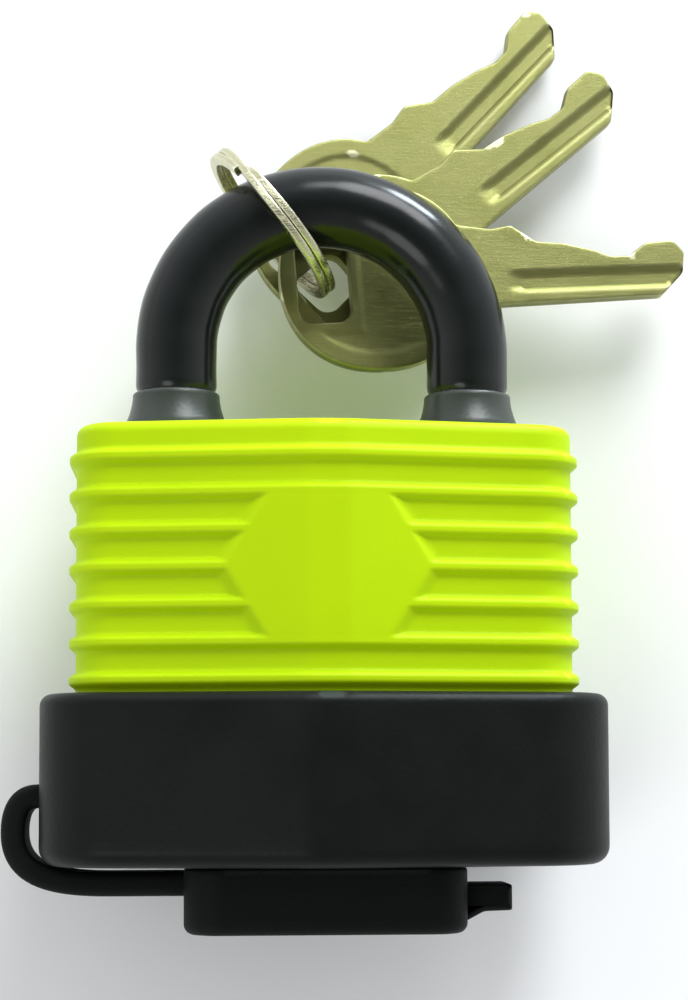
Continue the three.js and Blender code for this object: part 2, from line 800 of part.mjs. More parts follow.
function capStrap() {
  const steps = 26;
  const line = strapLine();
  const rings = Array.from({ length: steps + 1 }, (_, k) => {
    const middle = line.getPoint(k / steps);
    const heading = line.getTangent(k / steps);
    const across = new THREE.Vector3(-heading.y, heading.x, 0).multiplyScalar(STRAP_THICKNESS / 2);
    const side = STRAP_WIDTH / 2;
    return [
      [1, side],
      [-1, side],
      [-1, -side],
      [1, -side],
    ].map(([face, z]) => middle.clone().addScaledVector(across, face).setZ(z));
  });
  return loft(rings);
}

// ---- Split ring and keys ----

const upward = new THREE.Vector3(0, 0, 1);
const ringDirection = new THREE.Vector3(Math.cos(RING_TURN), Math.sin(RING_TURN), 0);
const ringNormal = new THREE.Vector3().crossVectors(upward, ringDirection);
const ringCentre = new THREE.Vector3(
  -LEG_X * Math.sin(RING_ALONG),
  ARC_LEVEL + LEG_X * Math.cos(RING_ALONG),
  -(RING_INNER - SLEEVE_RADIUS - GAP),
);
const keyNormal = new THREE.Vector3(
  Math.sin(KEY_TILT) * Math.cos(KEY_TILT_TOWARDS),
  Math.sin(KEY_TILT) * Math.sin(KEY_TILT_TOWARDS),
  Math.cos(KEY_TILT),
);

// A ring in the plane that holds the Z axis and the ring's direction.
function keyRing() {
  const half = RING_WIDTH / 2;
  const outer = RING_INNER + RING_WALL;
  const section = [
    [RING_INNER, -half],
    [outer, -half],
    [outer, half],
    [RING_INNER, half],
  ];
  return turned(section)
    .applyMatrix4(new THREE.Matrix4().makeBasis(ringDirection, ringNormal, upward))
    .translate(ringCentre.x, ringCentre.y, ringCentre.z);
}

// The key's outline: a round bow, then the blade with its cuts, in x along the key and y across it.
function keyShape() {
  const bowPoints = [];
  const steps = 28;
  for (let k = 0; k <= steps; k++) {
    const angle = THREE.MathUtils.degToRad(BOW.start + ((BOW.end - BOW.start) * k) / steps);
    const power = 2 / BOW.power;
    const reach = (value) => Math.sign(value) * Math.abs(value) ** power;
    bowPoints.push([
      BOW.centre + BOW.along * reach(Math.cos(angle)),
      BOW.across * reach(Math.sin(angle)),
    ]);
  }
  const tip = KEY_LENGTH;
  const bladePoints = [
    [tip - 3.2, BLADE_BACK],
    [tip - 0.4, BLADE_BACK + 2.7],
    [tip, BLADE_BACK + 5.2],
    [tip - 1.2, BLADE_BACK + 6.7],
    [tip - 4.7, BLADE_BACK + 6.5],
    [tip - 6.8, BLADE_BACK + 5],
    [tip - 8.9, BLADE_BACK + 5],
    [tip - 10.9, BLADE_BACK + 5.8],
    [tip - 14.7, BLADE_BACK + 6.8],
    [tip - 18, BLADE_BACK + 7.1],
    [tip - 20.9, BLADE_BACK + 9.2],
    [tip - 23.4, BLADE_BACK + 8.8],
  ];
  const shape = polygon([...bowPoints, ...bladePoints]);
  const hole = roundedRectangle(KEY_HOLE.along, KEY_HOLE.across, KEY_HOLE.corner);
  shape.holes.push(new THREE.Path(hole.getPoints(3)));
  return shape;
}

// Places a key on the ring: key 0 is the lowest, and each next one lies on the one before.
function keyGroup(index) {
  const height =
    -(SLEEVE_RADIUS + KEY_BELOW_ROD) -
    (KEY_PLACES.length - 1 - index) * (KEY_THICKNESS + KEY_SPACE);
  const drop = height - ringCentre.z;
  const along = Math.sqrt(RING_MIDDLE ** 2 - drop ** 2);
  const group = new THREE.Group();
  group.position.copy(ringCentre).addScaledVector(ringDirection, along).setZ(height);
  const place = KEY_PLACES[index];
  const direction = THREE.MathUtils.degToRad(place.degrees);
  const forward = new THREE.Vector3(Math.cos(direction), Math.sin(direction), 0);
  forward.addScaledVector(keyNormal, -forward.dot(keyNormal)).normalize();
  const side = new THREE.Vector3().crossVectors(keyNormal, forward);
  group.position.addScaledVector(forward, place.along).addScaledVector(side, place.across);
  group.quaternion.setFromRotationMatrix(
    new THREE.Matrix4().makeBasis(forward, side, keyNormal),
  );
  return group;
}

// ---- The lock ----

piece("bumper", bumper(), blackPlastic);
piece("cover", cover(), limePlastic);

const hollows = stackHollows();
for (let index = 0; index < PLATE_COUNT; index++) {
  piece("plate_" + String(index + 1).padStart(2, "0"), plate(index, hollows), zincSteel);
}
rivetPlaces().forEach(([x, z], index) => {
  piece("rivet_" + (index + 1), rodY(x, z, RIVET_RADIUS, STACK_BASE, STACK_TOP, 8), zincSteel);
});

piece("shackle", shackle(), hardSteel);
piece("shackle_sleeve", sleeve(), sleeveVinyl);
piece("cuff_heel", cuff(LEG_X), blackPlastic);
piece("cuff_toe", cuff(-LEG_X), blackPlastic);
piece("shackle_spring", shackleSpring(), zincSteel);

piece("cam", cam(), zincSteel);
piece("ball_heel", ball(BALL_REST), hardSteel);
piece("ball_toe", ball(-BALL_REST), hardSteel);

piece("cylinder_shell", shell(), brass);
piece("chamber_cap", chamberCap(), brass);
piece("plug", plug(), brass);
piece("plug_clip", plugClip(), zincSteel);
PIN_LENGTHS.forEach((_, index) => {
  piece("key_pin_" + (index + 1), keyPin(index), brass);
  piece("driver_pin_" + (index + 1), driverPin(index), brass);
  piece("pin_spring_" + (index + 1), pinSpring(index), zincSteel);
});

piece("dust_cap", dustCap(), blackRubber);
piece("cap_strap", capStrap(), blackRubber);

piece("key_ring", keyRing(), zincSteel);
KEY_PLACES.forEach((_, index) => {
  const group = keyGroup(index);
  const half = KEY_THICKNESS / 2;
  piece("key_" + (index + 1), prismZ(keyShape(), -half, half), nickelBrass, group);
  lock.add(group);
});

const padlock = new THREE.Group();
padlock.add(lock);

export default padlock;
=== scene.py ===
# %% [markdown]
# # A weatherproof padlock, its ring and its keys
#
# The real lock is a stack of riveted steel plates inside a ribbed lime-yellow plastic cover. A black
# bumper takes the knocks at the bottom, a vinyl sleeve keeps the shackle from scratching gates, and a
# soft cap on a strap keeps water out of the keyway. Three nickel-brass keys hang on a split ring.
#
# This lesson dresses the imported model. Every visible piece is a surface worked out as whole numpy
# arrays: a shape is a function on a grid, and only then does it become a Blender mesh.

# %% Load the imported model
import json
import math

import bmesh
import bpy
import numpy as np
from mathutils import Euler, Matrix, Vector
from mathutils.geometry import delaunay_2d_cdt, tessellate_polygon


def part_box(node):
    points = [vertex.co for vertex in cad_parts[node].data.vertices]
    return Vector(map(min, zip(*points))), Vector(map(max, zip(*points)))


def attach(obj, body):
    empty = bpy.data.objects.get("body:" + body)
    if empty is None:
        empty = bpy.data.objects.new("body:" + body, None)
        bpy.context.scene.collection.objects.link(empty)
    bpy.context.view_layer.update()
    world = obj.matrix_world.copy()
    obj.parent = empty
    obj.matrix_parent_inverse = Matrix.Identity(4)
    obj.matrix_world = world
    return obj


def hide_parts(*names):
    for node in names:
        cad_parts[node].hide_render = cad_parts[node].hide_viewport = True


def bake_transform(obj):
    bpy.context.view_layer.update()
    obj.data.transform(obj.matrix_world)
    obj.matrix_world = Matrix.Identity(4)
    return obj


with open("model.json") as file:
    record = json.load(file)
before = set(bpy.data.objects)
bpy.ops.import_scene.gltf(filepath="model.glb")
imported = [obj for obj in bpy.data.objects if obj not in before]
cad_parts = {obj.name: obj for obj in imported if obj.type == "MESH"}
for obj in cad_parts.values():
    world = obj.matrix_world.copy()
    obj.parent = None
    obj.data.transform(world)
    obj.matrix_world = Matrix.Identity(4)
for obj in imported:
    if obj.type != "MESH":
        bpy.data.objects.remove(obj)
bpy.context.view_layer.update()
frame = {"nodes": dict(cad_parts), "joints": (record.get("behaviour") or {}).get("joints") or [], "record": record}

# %% [markdown]
# ## One set of coordinates
#
# The lock lies on its back, but it is easier to think of it standing up. So shapes are worked out in
# millimetres in the lock's own coordinates: x across, y up from the bumper's bottom, and z out of the
# front from the middle of the body. The bumper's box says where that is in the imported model.

# %% Lock coordinates
MM = 0.001
bumper_low, bumper_high = (np.array(corner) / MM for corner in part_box("bumper"))
LOCK_ORIGIN = np.array([0, bumper_low[1], (bumper_low[2] + bumper_high[2]) / 2])
BODY_WIDTH, BUMPER_HEIGHT, BODY_DEPTH = bumper_high - bumper_low


def lock_box(node):
    """The lowest and highest corner of a node, in lock coordinates."""
    return [np.array(corner) / MM - LOCK_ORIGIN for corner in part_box(node)]


def joint_named(name):
    return next(joint for joint in frame["joints"] if joint["name"] == name)


print("body", BODY_WIDTH, "wide,", BODY_DEPTH, "deep; bumper", BUMPER_HEIGHT, "high")

# %% [markdown]
# ## From arrays to a mesh
#
# A patch is a block of points with its faces. A piece is several patches welded together: the weld
# merges points that meet, so the piece is one closed surface, and then its faces are turned to point
# outwards. Smooth shading with sharp edges above an angle keeps corners crisp without extra faces.

# %% Patches and pieces


def grid(points, close_rows=False, close_columns=False):
    """A patch from a (rows, columns, 3) array: each cell between neighbours is one quad."""
    rows, columns = points.shape[:2]
    index = np.arange(rows * columns).reshape(rows, columns)
    down = np.roll(index, -1, 0) if close_rows else index[1:]
    here = index if close_rows else index[:-1]
    if close_columns:
        across, down_across = np.roll(here, -1, 1), np.roll(down, -1, 1)
    else:
        here, across, down, down_across = here[:, :-1], here[:, 1:], down[:, :-1], down[:, 1:]
    quads = np.stack([here, across, down_across, down], -1).reshape(-1, 4)
    return points.reshape(-1, 3), quads.tolist()


def level_face(loops, y):
    """A flat patch at height y: the first (x, z) loop is its edge, and the others are holes in it."""
    flat = [[Vector((x, z, 0)) for x, z in loop] for loop in loops]
    plan = np.concatenate(loops)
    points = np.stack([plan[:, 0], np.full(len(plan), y), plan[:, 1]], -1)
    return points, [list(face) for face in tessellate_polygon(flat)]


def make_piece(name, patches, material, body=None, replaces=(), sharp=32):
    """Welds patches, given in lock millimetres, into one mesh object in the model's own place."""
    points, faces, first = [], [], 0
    for patch_points, patch_faces in patches:
        points.append(patch_points)
        faces += [[first + corner for corner in face] for face in patch_faces]
        first += len(patch_points)
    placed = (np.concatenate(points) + LOCK_ORIGIN) * MM
    mesh = bpy.data.meshes.new(name)
    mesh.from_pydata(placed.tolist(), [], faces)
    welded = bmesh.new()
    welded.from_mesh(mesh)
    bmesh.ops.remove_doubles(welded, verts=welded.verts, dist=2e-6)
    bmesh.ops.dissolve_degenerate(welded, edges=welded.edges, dist=1e-7)
    bmesh.ops.recalc_face_normals(welded, faces=welded.faces)
    open_edges = sum(not edge.is_manifold for edge in welded.edges)
    welded.to_mesh(mesh)
    welded.free()
    mesh.polygons.foreach_set("use_smooth", np.ones(len(mesh.polygons), bool))
    mesh.set_sharp_from_angle(angle=math.radians(sharp))
    mesh.materials.append(material)
    piece = bpy.data.objects.new(name, mesh)
    bpy.context.collection.objects.link(piece)
    if body:
        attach(piece, body)
    if replaces:
        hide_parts(*replaces)
    print(f"{name}: {len(mesh.polygons)} faces, {open_edges} open edges")
    return piece


# %% [markdown]
# Small curve helpers come next. Easing between 0 and 1 makes flanks that start and end softly, and a
# quarter circle makes every rounded edge. A closed outline is resampled so that its points are evenly
# spaced, and then averaged with its neighbours, which rounds creases as moulding and tumbling do.

# %% Curves


def ease(value):
    """Smoothstep: 0 below 0, 1 above 1, and a soft S between."""
    t = np.clip(value, 0, 1)
    return t * t * (3 - 2 * t)


def quarter(y0, inset0, y1, inset1, steps=7, bulge_first=True):
    """(y, inset) points on a quarter ellipse; it leaves the first point along y if bulge_first."""
    angle = np.linspace(0, math.pi / 2, steps)
    rise, run = np.sin(angle), 1 - np.cos(angle)
    if not bulge_first:
        rise, run = run, rise
    return np.stack([y0 + (y1 - y0) * rise, inset0 + (inset1 - inset0) * run], -1)


def even_loop(corners, count, soften):
    """A closed outline through corners at count even spacings, averaged over soften millimetres."""
    closed = np.vstack([corners, corners[:1]])
    length = np.concatenate([[0], np.cumsum(np.linalg.norm(np.diff(closed, axis=0), axis=1))])
    at = np.linspace(0, length[-1], count, endpoint=False)
    loop = np.stack([np.interp(at, length, closed[:, k]) for k in (0, 1)], -1)
    if soften:
        step = length[-1] / count
        reach = np.minimum(np.arange(count), count - np.arange(count)) * step
        weight = np.exp(-0.5 * (reach / soften) ** 2)
        spread = np.fft.fft(weight / weight.sum())
        loop = np.real(np.fft.ifft(np.fft.fft(loop, axis=0) * spread[:, None], axis=0))
    return loop


def loop_normals(loop):
    """The outward unit normals of an anticlockwise closed outline, by central differences."""
    along = np.roll(loop, -1, 0) - np.roll(loop, 1, 0)
    normal = np.stack([along[:, 1], -along[:, 0]], -1)
    return normal / np.linalg.norm(normal, axis=1, keepdims=True)


def circle(x, radius, count=64):
    """Even points of a circle about (x, 0): x + radius cos a, and radius sin a."""
    angle = np.arange(count) / count * 2 * math.pi
    return np.stack([x + radius * np.cos(angle), radius * np.sin(angle)], -1)


def rounded_box(width, height, radius, count=120):
    """A rectangle with round corners: the box's inner corners, each moved out along a full turn."""
    angle = np.arange(count) / count * 2 * math.pi + math.pi / count
    out = np.stack([np.cos(angle), np.sin(angle)], -1)
    corner = np.sign(out) * [width / 2 - radius, height / 2 - radius]
    return even_loop(corner + radius * out, count, 0)


# %% [markdown]
# ## Shader groups
#
# Effects that several finishes share are node groups, each built once. A group only puts out values,
# masks and heights; each material keeps its own Principled shader and decides what to do with them.
# A small wrapper keeps the node code short: it makes a node, sets its inputs and returns it.

# %% Node helpers


def add_node(tree, kind, inputs=None, **settings):
    """A node with its settings, whose named inputs are set to values or linked from sockets."""
    node = tree.nodes.new(kind)
    for name, value in settings.items():
        setattr(node, name, value)
    for name, value in (inputs or {}).items():
        if isinstance(value, bpy.types.NodeSocket):
            tree.links.new(value, node.inputs[name])
        else:
            node.inputs[name].default_value = value
    return node


def maths(tree, operation, a, b=0.0, clamp=False):
    node = add_node(tree, "ShaderNodeMath", {0: a, 1: b}, operation=operation, use_clamp=clamp)
    return node.outputs[0]


def new_group(name, inputs, outputs):
    """An empty node group with float inputs (name to default) and float outputs."""
    tree = bpy.data.node_groups.new(name, "ShaderNodeTree")
    for label, default in inputs.items():
        socket = tree.interface.new_socket(label, in_out="INPUT", socket_type="NodeSocketFloat")
        socket.default_value = default
    for label in outputs:
        tree.interface.new_socket(label, in_out="OUTPUT", socket_type="NodeSocketFloat")
    return tree, tree.nodes.new("NodeGroupInput"), tree.nodes.new("NodeGroupOutput")


def object_place(tree):
    return tree.nodes.new("ShaderNodeTexCoord").outputs["Object"]


# %% [markdown]
# The grain group is the skin of a mould: fine spark-eroded speckle with a slower unevenness on top.
# The mottle group is a soft cloud for colour that isn't quite even. Wear finds convex edges by the
# Geometry node's Pointiness and breaks them up with noise. Scratches are thin bands of stretched
# noise in two directions, as a key gets in a pocket.

# %% Grain, mottle, wear and scratches
grain_group, g_in, g_out = new_group("Mould grain", {"Scale": 3000.0, "Swell": 0.4}, ["Height"])
place = object_place(grain_group)
speckle = add_node(grain_group, "ShaderNodeTexNoise",
                   {"Vector": place, "Scale": g_in.outputs["Scale"], "Detail": 2.0})
swell_scale = maths(grain_group, "MULTIPLY", g_in.outputs["Scale"], 0.12)
swell = add_node(grain_group, "ShaderNodeTexNoise",
                 {"Vector": place, "Scale": swell_scale, "Detail": 1.0})
slow = maths(grain_group, "MULTIPLY", swell.outputs[0], g_in.outputs["Swell"])
grain_group.links.new(maths(grain_group, "ADD", speckle.outputs[0], slow), g_out.inputs[0])

mottle_group, g_in, g_out = new_group("Mottle", {"Scale": 60.0, "Contrast": 2.0}, ["Mask"])
cloud = add_node(mottle_group, "ShaderNodeTexNoise",
                 {"Vector": object_place(mottle_group), "Scale": g_in.outputs["Scale"],
                  "Detail": 4.0, "Roughness": 0.6})
centred = maths(mottle_group, "SUBTRACT", cloud.outputs[0], 0.5)
stretched = maths(mottle_group, "MULTIPLY", centred, g_in.outputs["Contrast"])
mottle_group.links.new(maths(mottle_group, "ADD", stretched, 0.5, clamp=True), g_out.inputs[0])

wear_group, g_in, g_out = new_group("Edge wear", {"Amount": 0.5, "Scale": 900.0}, ["Mask"])
pointed = wear_group.nodes.new("ShaderNodeNewGeometry").outputs["Pointiness"]
breakup = add_node(wear_group, "ShaderNodeTexNoise",
                   {"Vector": object_place(wear_group), "Scale": g_in.outputs["Scale"]})
raised = maths(wear_group, "MULTIPLY", maths(wear_group, "SUBTRACT", pointed, 0.515), 22.0)
broken = maths(wear_group, "MULTIPLY", raised, maths(wear_group, "ADD", breakup.outputs[0], 0.3))
scaled = maths(wear_group, "MULTIPLY", broken, g_in.outputs["Amount"], clamp=True)
wear_group.links.new(scaled, g_out.inputs[0])

scratch_group, g_in, g_out = new_group("Scratches", {"Scale": 90.0, "Amount": 0.5}, ["Mask"])
scratch_sum = None
for turn in (0.5, 2.1):
    turned = add_node(scratch_group, "ShaderNodeMapping",
                      {"Vector": object_place(scratch_group), "Rotation": (0.1, 0.0, turn),
                       "Scale": (1.0, 28.0, 4.0)})
    streak = add_node(scratch_group, "ShaderNodeTexNoise",
                      {"Vector": turned.outputs[0], "Scale": g_in.outputs["Scale"], "Detail": 3.0})
    thin = maths(scratch_group, "ABSOLUTE", maths(scratch_group, "SUBTRACT", streak.outputs[0], 0.5))
    line = maths(scratch_group, "SUBTRACT", 1.0, maths(scratch_group, "MULTIPLY", thin, 55.0), clamp=True)
    scratch_sum = line if scratch_sum is None else maths(scratch_group, "MAXIMUM", scratch_sum, line)
strength = maths(scratch_group, "MULTIPLY", scratch_sum, g_in.outputs["Amount"])
scratch_group.links.new(strength, g_out.inputs[0])
print("groups:", [tree.name for tree in bpy.data.node_groups])

# %% [markdown]
# ## Finishes
#
# A finish is a Principled shader with two colours that mottle into each other, a third where edges
# wear, roughness that varies a little, and a bump from the grain and the scratches. What is the same
# all over, such as metalness or a clear coat, is set on the shader's own socket.

# %% A finish from the groups


def use_group(tree, group, **values):
    node = add_node(tree, "ShaderNodeGroup", node_tree=group)
    for name, value in values.items():
        node.inputs[name].default_value = value
    return node.outputs[0]


def finish(name, base, second, worn, rough, rough_swing=0.1, mottle=60.0, grain=3000.0, swell=0.4,
           bump=0.02, wear=0.4, scratch=0.0, scratch_scale=90.0, **fixed):
    """A material: base and second colour by mottle, worn colour on edges, grain and scratch bump."""
    material = bpy.data.materials.new(name)
    material.use_nodes = True
    tree = material.node_tree
    shader = tree.nodes["Principled BSDF"]
    cloud = use_group(tree, mottle_group, Scale=mottle, Contrast=1.6)
    edge = use_group(tree, wear_group, Amount=wear, Scale=900.0)
    height = use_group(tree, grain_group, Scale=grain, Swell=swell)
    body = add_node(tree, "ShaderNodeMix", {"Factor": cloud}, data_type="RGBA")
    body.inputs[6].default_value = (*base, 1)
    body.inputs[7].default_value = (*second, 1)
    colour = add_node(tree, "ShaderNodeMix", {"Factor": edge}, data_type="RGBA")
    tree.links.new(body.outputs[2], colour.inputs[6])
    colour.inputs[7].default_value = (*worn, 1)
    tree.links.new(colour.outputs[2], shader.inputs["Base Color"])
    roughness = maths(tree, "ADD", maths(tree, "MULTIPLY", cloud, rough_swing), rough - rough_swing / 2)
    if scratch:
        marks = use_group(tree, scratch_group, Scale=scratch_scale, Amount=scratch)
        roughness = maths(tree, "ADD", roughness, maths(tree, "MULTIPLY", marks, 0.25), clamp=True)
        height = maths(tree, "SUBTRACT", height, maths(tree, "MULTIPLY", marks, 1.5))
    tree.links.new(roughness, shader.inputs["Roughness"])
    relief = add_node(tree, "ShaderNodeBump", {"Height": height, "Strength": 1.0, "Distance": bump * MM})
    tree.links.new(relief.outputs[0], shader.inputs["Normal"])
    for socket, value in fixed.items():
        shader.inputs[socket.replace("_", " ")].default_value = value
    return material


lime_plastic = finish("lime_plastic", (0.425, 0.64, 0.0005), (0.475, 0.69, 0.0005), (0.58, 0.77, 0.01),
                      0.5, mottle=45.0, grain=2600.0, bump=0.012, wear=0.25,
                      Specular_IOR_Level=0.12)
bumper_plastic = finish("bumper_plastic", (0.0035, 0.0050, 0.0040), (0.0060, 0.0080, 0.0065),
                        (0.030, 0.038, 0.033), 0.42, rough_swing=0.14, mottle=120.0, grain=1800.0,
                        bump=0.03, wear=0.35, Specular_IOR_Level=0.14)
cap_rubber = finish("cap_rubber", (0.0028, 0.0034, 0.0032), (0.0050, 0.0058, 0.0055), (0.02, 0.023, 0.022),
                    0.58, mottle=150.0, grain=2200.0, swell=0.8, bump=0.04, wear=0.3,
                    Specular_IOR_Level=0.12)
sleeve_vinyl = finish("sleeve_vinyl", (0.0045, 0.0065, 0.0060), (0.0070, 0.0095, 0.0090),
                      (0.03, 0.04, 0.04), 0.20, rough_swing=0.08, mottle=90.0, grain=500.0,
                      swell=1.0, bump=0.012, wear=0.2, scratch=0.06, scratch_scale=60.0,
                      Specular_IOR_Level=0.3)
cuff_plastic = finish("cuff_plastic", (0.020, 0.027, 0.023), (0.030, 0.038, 0.033),
                      (0.09, 0.10, 0.09), 0.36, grain=2000.0, bump=0.02, wear=0.5)
ground_steel = finish("ground_steel", (0.62, 0.63, 0.64), (0.72, 0.73, 0.74), (0.85, 0.86, 0.87),
                      0.22, mottle=200.0, grain=4000.0, bump=0.004, scratch=0.7,
                      scratch_scale=180.0, Metallic=1.0)
zinc_steel = finish("zinc_steel", (0.50, 0.51, 0.50), (0.62, 0.62, 0.60), (0.78, 0.78, 0.76),
                    0.38, rough_swing=0.2, mottle=300.0, grain=2500.0, bump=0.01, scratch=0.5,
                    Metallic=1.0)
# The ring is steel. The yellow-brown in its base, second and worn colours is a painted brassy reflection, not the
# colour of the wire.
ring_steel = finish("ring_steel", (0.50, 0.48, 0.28), (0.66, 0.64, 0.46), (0.86, 0.85, 0.72),
                    0.26, mottle=400.0, grain=3500.0, bump=0.006, wear=0.7, scratch=0.8,
                    scratch_scale=260.0, Metallic=1.0)
turned_brass = finish("turned_brass", (0.60, 0.42, 0.16), (0.72, 0.53, 0.24), (0.88, 0.72, 0.40),
                      0.28, mottle=220.0, grain=3000.0, bump=0.006, scratch=0.5, Metallic=1.0)
key_metal = finish("key_metal", (0.205, 0.212, 0.066), (0.270, 0.268, 0.105), (0.62, 0.61, 0.38),
                   0.44, rough_swing=0.16, mottle=170.0, grain=2600.0, bump=0.010, wear=0.9,
                   scratch=0.35, scratch_scale=120.0, Metallic=1.0)
print(len(bpy.data.materials), "materials")

# %% [markdown]
# ## The plan of the body
#
# Seen from below, the front and the back are shallow Vs: a narrow flat land in the middle, and two
# halves that fall back to round corners. Bumper and cover share that plan, each moved in by its own
# inset. One quarter is a corner arc and the edge of the land, which straight lines join. It is
# mirrored, and softened by half a millimetre so that the ridge catches light as a moulded crease does.

# %% Plan
LAND_WIDTH = 5.0
FACE_SLOPE = math.radians(9.4)
CORNER_RADIUS = 9.0
PLAN_POINTS = 560
PLAN_SOFTENING = 0.55


def body_plan():
    """The plan and its normals: x and z of PLAN_POINTS even points, anticlockwise."""
    end, face = BODY_WIDTH / 2, BODY_DEPTH / 2
    arc_x = end - CORNER_RADIUS
    arc_z = face + (LAND_WIDTH / 2 - arc_x) * math.tan(FACE_SLOPE)
    arc_z -= CORNER_RADIUS / math.cos(FACE_SLOPE)
    angle = np.linspace(0, math.pi / 2 - FACE_SLOPE, 40)
    arc = np.stack([arc_x + CORNER_RADIUS * np.cos(angle), arc_z + CORNER_RADIUS * np.sin(angle)], -1)
    right = np.vstack([arc, [[LAND_WIDTH / 2, face]]])
    front = np.vstack([right, right[::-1] * [-1, 1]])
    plan = even_loop(np.vstack([front, front[::-1] * [1, -1]]), PLAN_POINTS, PLAN_SOFTENING)
    return plan, loop_normals(plan)


plan, plan_normals = body_plan()
print("plan from", plan.min(0), "to", plan.max(0))


def plan_ring(inset):
    """The plan moved in along its normals by inset."""
    return plan - plan_normals * inset


def plan_wall(stations):
    """A (rows, columns, 3) wall: row k is the plan at height y and moved in by inset, which may be
    one number for the row or one for each point of the plan."""
    y = np.array([row[0] for row in stations])
    inset = np.stack([np.broadcast_to(row[1], PLAN_POINTS) for row in stations])
    rings = plan[None] - plan_normals[None] * inset[..., None]
    height = np.broadcast_to(y[:, None], inset.shape)
    return np.stack([rings[..., 0], height, rings[..., 1]], -1)


# %% [markdown]
# ## Bumper
#
# The bumper is a moulded tray with walls of 3.55 mm. It could be a box with bevels, but its walls follow the
# V plan, so a profile of height and inset carried round the plan is simpler: a round lower edge, a
# straight wall, a soft upper lip, and the inner wall back down to the floor. The bottom and the floor
# are flat faces with the keyway's rounded opening as their hole.

# %% Bumper
BUMPER_WALL = 3.55
BUMPER_FLOOR = 2.6
LOWER_ROUND = 2.0
LIP_ROUND = 1.3
INNER_LIP_ROUND = 0.4
WALL_START = 3.0
OPENING = (22.0, 14.0, 3.0)
OPENING_FLARE = 0.4


def bumper_patches():
    """The wall's profile round the plan, the bottom, the floor and the walls of the opening."""
    top = BUMPER_HEIGHT
    inner_lip = BUMPER_WALL - INNER_LIP_ROUND
    profile = np.vstack([
        quarter(0, LOWER_ROUND, LOWER_ROUND, 0, 9, bulge_first=False),
        [[y, 0] for y in np.linspace(WALL_START, top - LIP_ROUND - 0.5, 12)],
        quarter(top - LIP_ROUND, 0, top, LIP_ROUND, 8),
        [[top, inner_lip]],
        quarter(top, inner_lip, top - INNER_LIP_ROUND, BUMPER_WALL, 4, bulge_first=False),
        [[BUMPER_FLOOR, BUMPER_WALL]],
    ])
    width, depth, corner = OPENING
    wider = 2 * OPENING_FLARE
    opening = rounded_box(width, depth, corner)
    flare = rounded_box(width + wider, depth + wider, corner + OPENING_FLARE)
    rows = [(flare, 0.0), (opening, OPENING_FLARE), (opening, BUMPER_FLOOR)]
    well = np.stack([np.insert(loop, 1, y, axis=1) for loop, y in rows])
    return [
        grid(plan_wall(profile), close_columns=True),
        level_face([plan_ring(LOWER_ROUND), flare], 0.0),
        level_face([plan_ring(BUMPER_WALL), opening], BUMPER_FLOOR),
        grid(well, close_columns=True),
    ]


make_piece("bumper_shell", bumper_patches(), bumper_plastic, "body", ["bumper"])

# %% [markdown]
# ## Cover
#
# Seven beads run round the cover, and on the front and the back they stop at a blank hexagonal panel
# that stands level with their crests. A bead is a soft trapezoid in height; the panel is a mask in x
# and height. The larger of the two sets how far each point stands out of the recessed wall, so beads
# and panel run into each other without a seam.

# %% Cover
RECESS = BUMPER_WALL + 0.3
BEAD_COUNT = 7
BEAD_HEIGHT = 0.75
BEAD_PITCH = 4.0
BEAD_HALF_FOOT = 1.02
BEAD_FLANK = 0.72
FIRST_BEAD = 3.85
COVER_WALL = 2.0
TOP_ROUND = 1.2
PLAIN_LEVEL = 12.0
LOWEST_RIBBED_ROW = 17.4
ROW_STEP = 0.2
PANEL_LEVEL = 31.9
PANEL_HALF_WIDTH = 12.3
PANEL_TAPER = 0.6
PANEL_HALF_HEIGHT = 9.2
cover_low, cover_high = lock_box("cover")
COVER_TOP = cover_high[1]
shackle_low, shackle_high = lock_box("shackle")
sleeve_low, sleeve_high = lock_box("shackle_sleeve")
ROD_RADIUS = (sleeve_high[2] - sleeve_low[2]) / 2
STEEL_RADIUS = 3.95
LEG_X = 16.4
BORE_RADIUS = STEEL_RADIUS + 0.3
BORE_FLARE = 0.35


def bead_height(y):
    """1 on a bead's crest and 0 in the recess: trapezoids at even pitch, eased at foot and crest."""
    levels = COVER_TOP - FIRST_BEAD - BEAD_PITCH * np.arange(BEAD_COUNT)
    distance = np.abs(y[:, None] - levels[None]).min(1)
    return ease((BEAD_HALF_FOOT - distance) / BEAD_FLANK)


def panel_mask(x, y):
    """1 inside the hexagon: its half width tapers with the distance from its middle level."""
    away = np.abs(y - PANEL_LEVEL)
    side = PANEL_HALF_WIDTH - PANEL_TAPER * away
    return ease((side - np.abs(x)) / 1.9 + 0.5) * ease((PANEL_HALF_HEIGHT - away) / 1.8)


